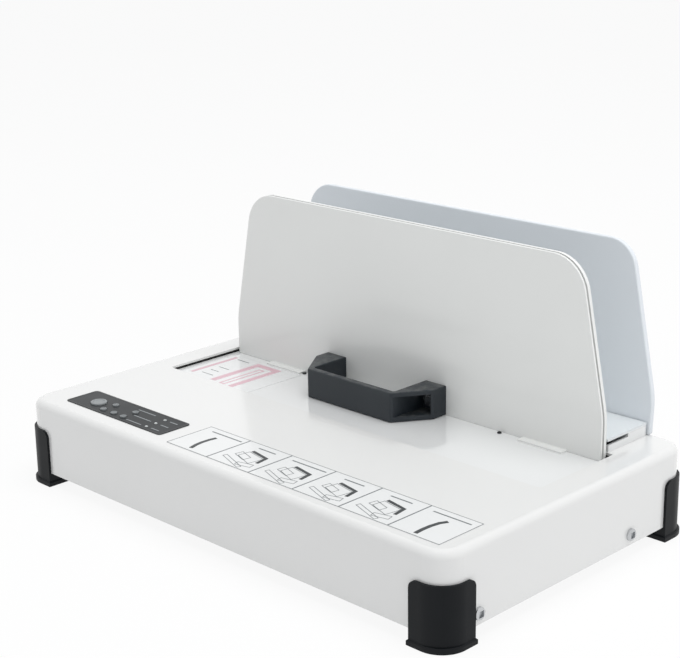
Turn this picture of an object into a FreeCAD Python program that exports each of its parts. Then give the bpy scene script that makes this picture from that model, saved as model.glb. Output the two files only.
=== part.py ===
import FreeCAD, Part
import os
import types
import Sketcher

# Desktop thermal binding machine: two upright plates over a heated platen, on a low white housing.
# Millimetres. The origin is on the floor under the middle of the housing, +X to the right,
# +Y to the back and +Z up. The front plate stands at its rear stop, against the platen.

SIZES = {
    # Housing
    "body_width": 376, "body_depth": 228, "body_floor": 9, "body_top": 58,
    "corner_radius": 16, "edge_radius": 5, "cover_wall": 1.5,
    "opening_half": 166, "opening_front": -5.3, "opening_step": 66, "opening_narrow": 159.6, "opening_back": 87,
    "opening_corner": 3,
    "base_gap": 0.3, "base_sheet": 1.5, "base_lip": 14,
    "vent_half": 1.5, "vent_low": -30, "vent_high": 20, "vent_first": -60, "vent_run": 120, "vent_count": 11,
    # Feet
    "foot_reach": 24, "foot_wall": 1.8, "foot_height": 39, "foot_flare": 0.9, "foot_flare_height": 3.4,
    "foot_flare_corner": 17, "foot_slope": 0.8, "foot_gap": 0.1, "foot_screw": 14, "foot_end_round": 5,
    "foot_well_radius": 4.2, "foot_well_depth": 4.5,
    # Screws
    "screw_radius": 1.9, "screw_hole": 2.0, "screw_head": 3.5, "screw_head_height": 2, "screw_length": 8,
    "small_screw": 1.25, "small_hole": 1.3, "small_head": 2.3, "small_head_height": 1, "small_length": 6,
    "side_screw_front": -85.8, "side_screw_rear": 55, "side_screw_height": 16, "side_screw_head": 3.9,
    "side_screw_head_height": 2.2,
    # Front plate, its backing and the panel that slides with it
    "plate_front": 57.5, "plate_depth": 6.2, "plate_sheet": 1.2, "plate_base_half": 163.1,
    "plate_top_half": 144, "plate_shoulder": 83, "plate_top": 178.5, "plate_corner": 25,
    "plate_shoulder_round": 60, "plate_foot_round": 2, "plate_bend": 1.4, "plate_edge": 0.5,
    "seam": 1.6, "tab_length": 34, "tab_left": -126.6, "tab_right": 104, "tab_front": 51.5,
    "panel_top": 55, "panel_half": 165.4, "panel_front": -12,
    "panel_screw_left": -90.8, "panel_screw_right": 86.8, "panel_screw_y": 55, "panel_screw_radius": 1,
    "panel_screw_hole": 1.05, "panel_screw_head": 1.5, "panel_screw_head_height": 0.8,
    # Pull handle
    "handle_centre": -14.6, "handle_half": 54.4, "handle_bar_half": 38, "handle_gap_half": 36.9,
    "handle_front": 21.3, "handle_shoulder": 45.5, "handle_bar": 5, "handle_low": 55.6, "handle_high": 75.4,
    "handle_wall": 3, "handle_back_wall": 5, "handle_well_inner": 39.2, "handle_well_outer": 53.2,
    "handle_screw": 46.2, "handle_round": 1.5, "handle_edge": 0.8, "handle_screw_radius": 2, "handle_screw_hole": 2.1,
    "handle_head": 4, "handle_head_height": 3, "handle_screw_length": 9.5, "nut_radius": 4.6, "nut_height": 3,
    # Rear plate and the brackets under it
    "rear_front": 107.5, "rear_depth": 3.2, "rear_bend": 1, "rear_base_half": 163.8, "rear_top_half": 139.7,
    "rear_height": 119.7, "rear_shoulder": 24, "rear_corner": 21, "rear_lean": 4.1,
    "rear_foot_half": 148, "rear_foot_front": 88.5, "rear_screw_inner": 68, "rear_screw_outer": 92,
    "rear_screw_y": 97, "bracket_inner": 60, "bracket_width": 40, "bracket_sheet": 2,
    "bracket_front": 86, "bracket_back": 104, "bracket_foot_y": 92,
    # Heated platen
    "platen_half": 161.8, "platen_front": 66.3, "platen_back": 107.1, "platen_top": 66.5, "platen_thick": 1.5,
    "platen_notch": 118, "platen_notch_length": 12, "platen_notch_depth": 3,
    "post_x": 154, "post_y": 74, "post_radius": 4.5, "spacer_inner": 149, "spacer_front": 87.5, "spacer_back": 106.5,
    "cheek_front": 67, "cheek_top": 62.5, "cheek_sheet": 1.5,
    "heater_half": 136, "heater_front": 69.5, "heater_depth": 16.8, "heater_thick": 2, "insulation_thick": 3,
    "clamp_half": 147, "clamp_front": 72, "clamp_depth": 12, "clamp_thick": 1.2, "clamp_screw": 142,
    "thermostat_x": 20, "thermostat_radius": 8, "thermostat_flange": 2, "thermostat_cap_radius": 6,
    "thermostat_cap": 4, "fuse_x": -40, "fuse_radius": 2, "fuse_length": 12,
    # Slide: rods, carriage and stops
    "rod_x": 120, "rod_z": 40, "rod_radius": 4, "rod_front": -20, "rod_length": 82.5, "rod_hole": 4.05,
    "block_half": 14, "block_front": 14, "block_length": 40, "block_low": 30,
    "bar_front": 42, "bar_back": 57, "bar_height": 6, "bush_radius": 6, "bush_length": 12,
    "stand_front": -17.5, "stand_rear": 58, "stand_top": 50, "stand_sheet": 2, "stand_foot": 14,
    "stop_radius": 7, "stop_hole": 4.1, "stop_thick": 3, "stop_gap": 0.1, "clip_radius": 6, "clip_thick": 1,
    # Control panel
    "overlay_left": -162.4, "overlay_right": -63.2, "overlay_front": -99.5, "overlay_back": -73.2,
    "overlay_thick": 0.4, "overlay_corner": 2.5,
    "button_x": -141.2, "button_y": -87.8, "button_radius": 5.6, "button_flange": 6.8, "button_top": 59.4,
    "key_left": -128.1, "key_middle": -117.1, "key_right": -107.1, "key_back": -83.6, "key_front": -93.9,
    "key_radius": 2.3, "key_flange": 3.3, "key_top": 59.2, "key_gap": 0.35,
    "flange_low": 54.8, "flange_thick": 1.4, "stem_low": 52, "stem_radius": 2,
    "lamp_x": -81.5, "lamp_first": -95.1, "lamp_pitch": 7.7, "lamp_radius": 1.2, "lamp_top": 58.8,
    "lamp_gap": 0.1,
    "board_left": -162, "board_front": -103, "board_length": 96, "board_depth": 33, "board_top": 46,
    "board_thick": 1.6, "board_inset": 4, "board_spacer_radius": 3,
    "switch_side": 6, "switch_height": 4, "switch_stem": 1.6, "switch_stem_height": 1,
    "buzzer_x": -93, "buzzer_y": -78, "buzzer_radius": 6, "buzzer_height": 7.5,
    # Power board
    "power_left": 60, "power_front": -104, "power_length": 90, "power_depth": 40, "power_low": 18.5,
    "transformer_x": 68, "transformer_y": -99, "transformer_length": 36, "transformer_depth": 30,
    "transformer_height": 28, "coil_inset": 6, "coil_proud": 3,
    "relay_x": 112, "relay_y": -97, "relay_length": 28, "relay_depth": 12.5, "relay_height": 15,
    # Mains inlet
    "inlet_x": -120, "inlet_z": 34, "inlet_flange_half": 25, "inlet_flange_height": 11.3,
    "inlet_flange_thick": 1.8, "inlet_half": 13.7, "inlet_height": 10, "inlet_depth": 22,
    "inlet_bay_half": 11.8, "inlet_bay_height": 8, "inlet_bay_depth": 16, "inlet_gap": 0.2,
    "inlet_screw": 20, "pin_length": 10, "pin_thick": 2, "pin_tall": 4, "pin_pitch": 7, "pin_drop": 2,
    # Labels
    "label_thick": 0.2, "steps_left": -50.6, "steps_right": 175.6, "steps_front": -103.9, "steps_back": -66.8,
    "scale_left": -160, "scale_right": -90, "scale_front": -9, "scale_back": 50,
}

doc = FreeCAD.newDocument("BindingMachine")
sheet = doc.addObject("Spreadsheet::Sheet", "Sizes")
for row, (alias, number) in enumerate(SIZES.items(), start=1):
    sheet.set(f"A{row}", alias)
    sheet.set(f"B{row}", str(number))
    sheet.setAlias(f"B{row}", alias)
doc.recompute()


class Size:
    """A cell of the sheet, or a sum of cells: its formula and its present value."""

    def __init__(self, text, value):
        self.text = text
        self.value = value

    def join(self, sign, other, value):
        return Size(f"({self.text} {sign} {as_size(other).text})", value)

    def __add__(self, other):
        return self.join("+", other, self.value + as_size(other).value)

    def __sub__(self, other):
        return self.join("-", other, self.value - as_size(other).value)

    def __mul__(self, other):
        return self.join("*", other, self.value * as_size(other).value)

    def __truediv__(self, other):
        return self.join("/", other, self.value / as_size(other).value)

    def __neg__(self):
        return Size(f"(0 - {self.text})", -self.value)


def as_size(item):
    """A plain number as a Size."""
    if isinstance(item, Size):
        return item
    return Size(repr(item), item)


S = types.SimpleNamespace(**{name: Size(f"Sizes.{name}", value) for name, value in SIZES.items()})

# Levels and faces that several pieces share
half_width = S.body_width / 2
half_depth = S.body_depth / 2
cover_under = S.body_top - S.cover_wall
base_top = S.body_floor + S.base_sheet
plate_back = S.plate_front + S.plate_depth
panel_under = S.panel_top - S.plate_sheet
platen_under = S.platen_top - S.platen_thick
heater_under = platen_under - S.heater_thick
insulation_under = heater_under - S.insulation_thick
clamp_under = insulation_under - S.clamp_thick
clamp_y = S.clamp_front + S.clamp_depth / 2
handle_z = (S.handle_low + S.handle_high) / 2
power_top = S.power_low + S.board_thick

# Directions
UP = FreeCAD.Vector(0, 0, 1)
DOWN = FreeCAD.Vector(0, 0, -1)
BACK = FreeCAD.Vector(0, 1, 0)
FORWARD = FreeCAD.Vector(0, -1, 0)
RIGHT = FreeCAD.Vector(1, 0, 0)
LEFT = FreeCAD.Vector(-1, 0, 0)

TOUCH = 1e-4
sub_parts = []


def bind(item, prop, size):
    """Drive one property of an object from the sheet."""
    item.setExpression(prop, as_size(size).text)


def place(item, x, y, z):
    """Drive an object's position from the sheet."""
    for axis, size in zip("xyz", (x, y, z)):
        bind(item, f"Placement.Base.{axis}", size)


def keep(item, label):
    """Name a finished sub-part."""
    item.Label = label
    sub_parts.append(item)
    return item


# Solids made of primitives


def block(name, low, high):
    """A box between two corners."""
    box = doc.addObject("Part::Box", name)
    for prop, start, end in zip(("Length", "Width", "Height"), low, high):
        bind(box, prop, as_size(end) - start)
    place(box, *low)
    return box


def cylinder(name, start, radius, length, direction=UP):
    """A round bar from a point along a direction."""
    bar = doc.addObject("Part::Cylinder", name)
    bind(bar, "Radius", radius)
    bind(bar, "Height", length)
    bar.Placement = FreeCAD.Placement(FreeCAD.Vector(), FreeCAD.Rotation(UP, direction))
    place(bar, *start)
    return bar


def fuse(name, pieces):
    whole = doc.addObject("Part::MultiFuse", name)
    whole.Shapes = pieces
    return whole


def cut(name, base, tools):
    rest = doc.addObject("Part::Cut", name)
    rest.Base = base
    rest.Tool = tools[0] if len(tools) == 1 else fuse(f"{name}_tools", tools)
    return rest


def group(label, pieces):
    """Like pieces that stay separate solids in one node."""
    bunch = doc.addObject("Part::Compound", label)
    bunch.Links = pieces
    return keep(bunch, label)


def ring(name, start, outer, inner, length, direction=UP):
    body = cylinder(f"{name}_body", start, outer, length, direction)
    bore = cylinder(f"{name}_bore", start, inner, length, direction)
    return cut(name, body, [bore])


def screw(name, seat, direction, radius, length, head, head_height):
    """A screw whose head stands on its seat and whose shank runs along the direction."""
    shank = cylinder(f"{name}_shank", seat, radius, length, direction)
    cap = cylinder(f"{name}_head", seat, head, head_height, direction.negative())
    return fuse(name, [shank, cap])


def screws(label, seats, direction, length=S.screw_length):
    """A group of the machine's common screws."""
    pieces = []
    for index, seat in enumerate(seats):
        pieces.append(screw(f"{label}_{index}", seat, direction, S.screw_radius, length,
                            S.screw_head, S.screw_head_height))
    return group(label, pieces)


def small_screws(label, seats, direction, length=S.small_length):
    """A group of the machine's small screws."""
    pieces = []
    for index, seat in enumerate(seats):
        pieces.append(screw(f"{label}_{index}", seat, direction, S.small_screw, length,
                            S.small_head, S.small_head_height))
    return group(label, pieces)


# Bodies made of sketches and features


def new_body(label):
    return keep(doc.addObject("PartDesign::Body", label), label)


def sketch_on(body, role, offset=0):
    """A sketch on one of the body's own planes, moved along that plane's normal."""
    sketch = body.newObject("Sketcher::SketchObject", f"{body.Name}_sketch")
    plane = next(item for item in body.Origin.OriginFeatures if item.Role == role)
    sketch.AttachmentSupport = [(plane, "")]
    sketch.MapMode = "FlatFace"
    bind(sketch, "AttachmentOffset.Base.z", offset)
    return sketch


def fix_point(sketch, geometry, end, x, y):
    """Hold one point of a sketch at sheet-driven distances from the sketch's origin."""
    for kind, size in (("DistanceX", as_size(x)), ("DistanceY", as_size(y))):
        index = sketch.addConstraint(Sketcher.Constraint(kind, -1, 1, geometry, end, size.value))
        bind(sketch, f"Constraints[{index}]", size)


def polygon(sketch, points):
    """A closed outline of straight lines."""
    first = sketch.GeometryCount
    count = len(points)
    corners = [FreeCAD.Vector(as_size(x).value, as_size(y).value, 0) for x, y in points]
    for index in range(count):
        sketch.addGeometry(Part.LineSegment(corners[index], corners[(index + 1) % count]))
    for index in range(count):
        after = first + (index + 1) % count
        sketch.addConstraint(Sketcher.Constraint("Coincident", first + index, 2, after, 1))
    for index, (x, y) in enumerate(points):
        fix_point(sketch, first + index, 1, x, y)


def rectangle(sketch, low, high):
    (left, bottom), (right, top) = low, high
    polygon(sketch, [(left, bottom), (right, bottom), (right, top), (left, top)])


def circle(sketch, x, y, radius):
    centre = FreeCAD.Vector(as_size(x).value, as_size(y).value, 0)
    geometry = sketch.addGeometry(Part.Circle(centre, UP, as_size(radius).value))
    fix_point(sketch, geometry, 3, x, y)
    index = sketch.addConstraint(Sketcher.Constraint("Radius", geometry, as_size(radius).value))
    bind(sketch, f"Constraints[{index}]", radius)


def pad(body, sketch, length, reverse=False):
    feature = body.newObject("PartDesign::Pad", f"{body.Name}_pad")
    feature.Profile = sketch
    feature.Reversed = reverse
    bind(feature, "Length", length)
    doc.recompute()
    return feature


def pocket(body, sketch, depth, reverse=False):
    """Cut a sketch into the body, against the sketch's normal unless reversed."""
    before = body.Shape.Volume
    feature = body.newObject("PartDesign::Pocket", f"{body.Name}_pocket")
    feature.Profile = sketch
    feature.Reversed = reverse
    bind(feature, "Length", depth)
    doc.recompute()
    if body.Shape.Volume > before - TOUCH:
        raise RuntimeError(f"{feature.Name} cuts nothing from {body.Label}")
    return feature


def dress(body, kind, test, prop, size):
    """Add a fillet or a chamfer to the edges that pass a test."""
    last = body.Tip
    names = [f"Edge{index}" for index, edge in enumerate(last.Shape.Edges, start=1) if test(edge)]
    if not names:
        raise RuntimeError(f"no edge to dress on {body.Label}")
    feature = body.newObject(f"PartDesign::{kind}", f"{body.Name}_{kind.lower()}")
    feature.Base = (last, names)
    bind(feature, prop, size)
    doc.recompute()
    return feature


def fillet(body, test, radius):
    """Round the edges that pass a test."""
    return dress(body, "Fillet", test, "Radius", radius)


def chamfer(body, test, size):
    """Slope the edges that pass a test."""
    return dress(body, "Chamfer", test, "Size", size)


# Tests that pick edges and faces


def near(value, size):
    return abs(value - as_size(size).value) < 1e-3


def runs_along(edge, axis):
    """True for a straight edge along one axis."""
    if edge.Curve.TypeId != "Part::GeomLine":
        return False
    box = edge.BoundBox
    lengths = {"x": box.XLength, "y": box.YLength, "z": box.ZLength}
    along = lengths.pop(axis)
    return along > TOUCH and max(lengths.values()) < TOUCH


def upright_at(x, y):
    """Test for an upright edge at one place in plan."""
    def test(edge):
        middle = edge.BoundBox.Center
        return runs_along(edge, "z") and near(middle.x, x) and near(middle.y, y)
    return test


def upright(edge):
    return runs_along(edge, "z")


def upright_corners(x, y):
    """Test for the four upright edges of a box about the middle of the housing."""
    def test(edge):
        middle = edge.BoundBox.Center
        return upright(edge) and near(abs(middle.x), x) and near(abs(middle.y), y)
    return test


def level(z):
    """Test for an edge that lies flat at one height."""
    def test(edge):
        return near(edge.BoundBox.ZMin, z) and near(edge.BoundBox.ZMax, z)
    return test


def in_plane_y(y):
    """Test for an edge that lies in one plane across the depth."""
    def test(edge):
        return near(edge.BoundBox.YMin, y) and near(edge.BoundBox.YMax, y)
    return test


def both_sides(x, y, z):
    """The same place on the left and on the right."""
    return [(-x, y, z), (x, y, z)]


# Places of the fasteners

side_rows = (S.side_screw_front, S.side_screw_rear)
stand_foot_y = (S.stand_front + S.stand_sheet - S.stand_foot / 2, S.stand_rear + S.stand_foot / 2)
bottom_seats = both_sides(S.post_x, S.post_y, S.body_floor)
for stand_y in stand_foot_y:
    bottom_seats += both_sides(S.rod_x, stand_y, S.body_floor)
for bracket_x in (S.rear_screw_inner, S.rear_screw_outer):
    bottom_seats += both_sides(bracket_x, S.bracket_foot_y, S.body_floor)
power_corners = [(x, y) for x in (S.power_left + S.board_inset, S.power_left + S.power_length - S.board_inset)
                 for y in (S.power_front + S.board_inset, S.power_front + S.power_depth - S.board_inset)]
bottom_seats += [(x, y, S.body_floor) for x, y in power_corners]
board_corners = [(x, y) for x in (S.board_left + S.board_inset, S.board_left + S.board_length - S.board_inset)
                 for y in (S.board_front + S.board_inset, S.board_front + S.board_depth - S.board_inset)]
foot_corners = [(x, y) for x in (S.foot_screw - half_width, half_width - S.foot_screw)
                for y in (S.foot_screw - half_depth, half_depth - S.foot_screw)]
rear_seats = [(x * side, S.rear_screw_y) for x in (S.rear_screw_inner, S.rear_screw_outer) for side in (-1, 1)]
inlet_screw_places = [(S.inlet_x - S.inlet_screw, S.inlet_z), (S.inlet_x + S.inlet_screw, S.inlet_z)]
key_places = {
    "key_1": (S.key_left, S.key_back), "key_2": (S.key_right, S.key_back),
    "key_3": (S.key_left, S.key_front), "key_4": (S.key_middle, S.key_front), "key_5": (S.key_right, S.key_front),
}
button_place = (S.button_x, S.button_y)
lamp_places = [(S.lamp_x, S.lamp_first + S.lamp_pitch * index) for index in range(3)]


def panel_holes(sketch):
    """Holes for the button, the keys and the lamps."""
    circle(sketch, *button_place, S.button_radius + S.key_gap)
    for x, y in key_places.values():
        circle(sketch, x, y, S.key_radius + S.key_gap)
    for x, y in lamp_places:
        circle(sketch, x, y, S.lamp_radius + S.lamp_gap)


# Housing


def make_top_cover():
    body = new_body("top_cover")
    outline = sketch_on(body, "XY_Plane", S.body_floor)
    rectangle(outline, (-half_width, -half_depth), (half_width, half_depth))
    pad(body, outline, S.body_top - S.body_floor)

    inner_x = half_width - S.cover_wall
    inner_y = half_depth - S.cover_wall
    cavity = sketch_on(body, "XY_Plane", S.body_floor)
    rectangle(cavity, (-inner_x, -inner_y), (inner_x, inner_y))
    pocket(body, cavity, cover_under - S.body_floor, reverse=True)
    fillet(body, upright_corners(inner_x, inner_y), S.corner_radius - S.cover_wall)
    fillet(body, level(cover_under), S.edge_radius - S.cover_wall)
    fillet(body, upright_corners(half_width, half_depth), S.corner_radius)
    fillet(body, level(S.body_top), S.edge_radius)

    opening = sketch_on(body, "XY_Plane", S.body_top)
    polygon(opening, [
        (-S.opening_half, S.opening_front), (S.opening_half, S.opening_front), (S.opening_half, S.opening_step),
        (S.opening_narrow, S.opening_step), (S.opening_narrow, S.opening_back), (-S.opening_narrow, S.opening_back),
        (-S.opening_narrow, S.opening_step), (-S.opening_half, S.opening_step),
    ])
    pocket(body, opening, S.cover_wall * 2)
    for side in (-1, 1):
        for x, y in ((S.opening_half, S.opening_front), (S.opening_narrow, S.opening_back)):
            fillet(body, upright_at(x * side, y), S.opening_corner)

    holes = sketch_on(body, "XY_Plane", S.body_top)
    panel_holes(holes)
    for x, y in rear_seats:
        circle(holes, x, y, S.screw_hole)
    pocket(body, holes, S.cover_wall * 2)

    side_holes = sketch_on(body, "YZ_Plane", S.body_width)
    for y in side_rows:
        circle(side_holes, y, S.side_screw_height, S.screw_hole)
    pocket(body, side_holes, S.body_width * 2)

    inlet = sketch_on(body, "XZ_Plane", -half_depth)
    rectangle(inlet,
              (S.inlet_x - S.inlet_half - S.inlet_gap, S.inlet_z - S.inlet_height - S.inlet_gap),
              (S.inlet_x + S.inlet_half + S.inlet_gap, S.inlet_z + S.inlet_height + S.inlet_gap))
    for x, z in inlet_screw_places:
        circle(inlet, x, z, S.small_hole)
    pocket(body, inlet, S.cover_wall * 2, reverse=True)


def make_base_plate():
    body = new_body("base_plate")
    inset = S.cover_wall + S.base_gap
    outer_x = half_width - inset
    outer_y = half_depth - inset
    outline = sketch_on(body, "XY_Plane", S.body_floor)
    rectangle(outline, (-outer_x, -outer_y), (outer_x, outer_y))
    pad(body, outline, S.base_lip)

    inner_x = outer_x - S.base_sheet
    inner_y = outer_y - S.base_sheet
    tray = sketch_on(body, "XY_Plane", base_top)
    rectangle(tray, (-inner_x, -inner_y), (inner_x, inner_y))
    pocket(body, tray, S.base_lip, reverse=True)
    fillet(body, upright_corners(inner_x, inner_y), S.corner_radius - inset - S.base_sheet)
    fillet(body, upright_corners(outer_x, outer_y), S.corner_radius - inset)

    holes = sketch_on(body, "XY_Plane", base_top)
    for x, y, _ in bottom_seats:
        circle(holes, x, y, S.screw_hole)
    for x, y in foot_corners:
        circle(holes, x, y, S.screw_hole)
    for index in range(SIZES["vent_count"]):
        x = S.vent_first + S.vent_run * index / (SIZES["vent_count"] - 1)
        rectangle(holes, (x - S.vent_half, S.vent_low), (x + S.vent_half, S.vent_high))
    pocket(body, holes, S.base_sheet * 2)

    side_holes = sketch_on(body, "YZ_Plane", S.body_width)
    for y in side_rows:
        circle(side_holes, y, S.side_screw_height, S.screw_hole)
    pocket(body, side_holes, S.body_width * 2)


def make_foot(label, x, y, turn):
    """A corner foot, drawn for the front left corner and turned to its own."""
    body = new_body(label)
    column = sketch_on(body, "XY_Plane")
    rectangle(column, (-S.foot_wall, -S.foot_wall), (S.foot_reach, S.foot_reach))
    pad(body, column, S.foot_height)
    seat = sketch_on(body, "XY_Plane", S.body_floor)
    rectangle(seat, (-S.foot_gap, -S.foot_gap), (S.foot_reach * 2, S.foot_reach * 2))
    pocket(body, seat, S.foot_height, reverse=True)
    fillet(body, upright_at(-S.foot_gap, -S.foot_gap), S.corner_radius + S.foot_gap)
    fillet(body, upright_at(-S.foot_wall, -S.foot_wall), S.corner_radius + S.foot_wall)

    def wall_end(edge):
        box = edge.BoundBox
        at_end = near(box.Center.x, S.foot_reach) or near(box.Center.y, S.foot_reach)
        return level(S.foot_height)(edge) and at_end

    fillet(body, wall_end, S.foot_end_round)

    flared = -(S.foot_wall + S.foot_flare)
    far = S.foot_reach + S.foot_flare
    flare = sketch_on(body, "XY_Plane")
    rectangle(flare, (flared, flared), (far, far))
    pad(body, flare, S.foot_flare_height)
    fillet(body, upright_at(flared, flared), S.foot_flare_corner)

    def flare_rim(edge):
        box = edge.BoundBox
        at_low = near(box.XMin, flared) or near(box.YMin, flared)
        at_high = near(box.XMax, far) or near(box.YMax, far)
        return level(S.foot_flare_height)(edge) and (at_low or at_high)

    chamfer(body, flare_rim, S.foot_slope)

    well = sketch_on(body, "XY_Plane")
    circle(well, S.foot_screw, S.foot_screw, S.foot_well_radius)
    pocket(body, well, S.foot_well_depth, reverse=True)
    hole = sketch_on(body, "XY_Plane")
    circle(hole, S.foot_screw, S.foot_screw, S.screw_hole)
    pocket(body, hole, S.body_floor, reverse=True)
    body.Placement = FreeCAD.Placement(FreeCAD.Vector(), FreeCAD.Rotation(UP, turn))
    place(body, x, y, 0)


def make_housing():
    make_top_cover()
    make_base_plate()
    make_foot("foot_front_left", -half_width, -half_depth, 0)
    make_foot("foot_front_right", half_width, -half_depth, 90)
    make_foot("foot_rear_right", half_width, half_depth, 180)
    make_foot("foot_rear_left", -half_width, half_depth, 270)
    screws("foot_screws", [(x, y, S.foot_well_depth) for x, y in foot_corners], UP)
    screws("base_screws", bottom_seats, UP)
    sides = []
    for index, y in enumerate(side_rows):
        for name, x, inwards in (("left", -half_width, RIGHT), ("right", half_width, LEFT)):
            sides.append(screw(f"side_{name}_{index}", (x, y, S.side_screw_height), inwards, S.screw_radius,
                               S.screw_length, S.side_screw_head, S.side_screw_head_height))
    group("side_screws", sides)


# Plates


def plate_outline(base_half, top_half, low, shoulder, high, inset=0):
    """An upright plate's face: straight at its foot, then leaning in to its top."""
    base = base_half - inset
    top = top_half - inset
    return [(-base, low + inset), (base, low + inset), (base, shoulder),
            (top, high - inset), (-top, high - inset), (-base, shoulder)]


def round_plate(body, outline, corner, inset=0):
    """Round the corners of an outline on a plate that stands in the XZ plane."""
    def corner_at(x, z):
        def test(edge):
            middle = edge.BoundBox.Center
            return runs_along(edge, "y") and near(abs(middle.x), x) and near(middle.z, z)
        return test

    _, foot, shoulder, top, _, _ = outline
    fillet(body, corner_at(*top), corner - inset)
    fillet(body, corner_at(*shoulder), S.plate_shoulder_round - inset)
    fillet(body, corner_at(*foot), S.plate_foot_round - inset)


def folded_plate(body, low_y, high_y, outline, inner, corner, bend, face_at_back=False):
    """A sheet face with its rim folded over all round, open on the side away from the face."""
    face = sketch_on(body, "XZ_Plane", -low_y)
    polygon(face, outline)
    pad(body, face, high_y - low_y, reverse=True)

    open_side, face_side = (low_y, high_y) if face_at_back else (high_y, low_y)
    hollow = sketch_on(body, "XZ_Plane", -open_side)
    polygon(hollow, inner)
    pocket(body, hollow, high_y - low_y - S.plate_sheet, reverse=not face_at_back)
    round_plate(body, inner, corner, S.plate_sheet)
    round_plate(body, outline, corner)
    fillet(body, in_plane_y(face_side), bend)


front_edges = (S.plate_base_half, S.plate_top_half, S.panel_top, S.plate_shoulder, S.plate_top)
front_outline = plate_outline(*front_edges)


def make_front_plate():
    body = new_body("front_plate")
    face = sketch_on(body, "XZ_Plane", -S.plate_front)
    polygon(face, front_outline)
    pad(body, face, S.plate_sheet, reverse=True)
    round_plate(body, front_outline, S.plate_corner)
    fillet(body, in_plane_y(S.plate_front), S.plate_edge)

    tabs = sketch_on(body, "XY_Plane", S.panel_top)
    for left in (S.tab_left, S.tab_right):
        rectangle(tabs, (left, S.tab_front), (left + S.tab_length, S.plate_front + S.plate_sheet))
    pad(body, tabs, S.plate_sheet)

    holes = sketch_on(body, "XZ_Plane", -S.plate_front)
    for side in (-1, 1):
        circle(holes, S.handle_centre + S.handle_screw * side, handle_z, S.handle_screw_hole)
    pocket(body, holes, S.plate_sheet * 2)


def make_front_plate_backing():
    body = new_body("front_plate_backing")
    inner = plate_outline(*front_edges, S.plate_sheet)
    folded_plate(body, S.plate_front + S.plate_sheet + S.seam, plate_back, front_outline, inner,
                 S.plate_corner, S.plate_bend, face_at_back=True)


def make_rear_plate():
    """A folded sheet that leans back about its rear lower edge, and the flat foot that is screwed down."""
    body = doc.addObject("PartDesign::Body", "rear_plate_face")
    edges = (S.rear_base_half, S.rear_top_half, as_size(0), S.rear_shoulder, S.rear_height)
    folded_plate(body, -S.rear_depth, as_size(0), plate_outline(*edges), plate_outline(*edges, S.plate_sheet),
                 S.rear_corner, S.rear_bend)
    body.Placement = FreeCAD.Placement(FreeCAD.Vector(), FreeCAD.Rotation(LEFT, SIZES["rear_lean"]))
    bind(body, "Placement.Rotation.Angle", S.rear_lean)
    place(body, 0, S.rear_front + S.rear_depth, S.body_top)

    foot = block("rear_plate_foot", (-S.rear_foot_half, S.rear_foot_front, S.body_top),
                 (S.rear_foot_half, S.rear_front + S.plate_sheet, S.body_top + S.plate_sheet))
    holes = [cylinder(f"rear_plate_hole_{index}", (x, y, S.body_top), S.screw_hole, S.plate_sheet)
             for index, (x, y) in enumerate(rear_seats)]
    keep(cut("rear_plate", fuse("rear_plate_sheet", [body, foot]), holes), "rear_plate")


def make_rear_brackets():
    """Two folded brackets that carry the rear plate's foot through the cover."""
    brackets = []
    for name, left in (("left", -(S.bracket_inner + S.bracket_width)), ("right", S.bracket_inner)):
        right = left + S.bracket_width
        foot = block(f"bracket_foot_{name}", (left, S.bracket_front, base_top),
                     (right, S.bracket_back, base_top + S.bracket_sheet))
        web = block(f"bracket_web_{name}", (left, S.bracket_back - S.bracket_sheet, base_top),
                    (right, S.bracket_back, cover_under))
        top = block(f"bracket_top_{name}", (left, S.bracket_front, cover_under - S.bracket_sheet),
                    (right, S.bracket_back, cover_under))
        side = -1 if name == "left" else 1
        holes = []
        for index, x in enumerate((S.rear_screw_inner, S.rear_screw_outer)):
            for level_name, y, z in (("foot", S.bracket_foot_y, base_top),
                                     ("top", S.rear_screw_y, cover_under - S.bracket_sheet)):
                holes.append(cylinder(f"bracket_hole_{name}_{level_name}_{index}", (x * side, y, z),
                                      S.screw_hole, S.bracket_sheet))
        brackets.append(cut(f"bracket_{name}", fuse(f"bracket_sheet_{name}", [foot, web, top]), holes))
    group("rear_brackets", brackets)


def make_plates():
    make_front_plate()
    make_front_plate_backing()
    make_rear_plate()
    make_rear_brackets()
    screws("rear_plate_screws", [(x, y, S.body_top + S.plate_sheet) for x, y in rear_seats], DOWN)


# Pull handle


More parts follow.
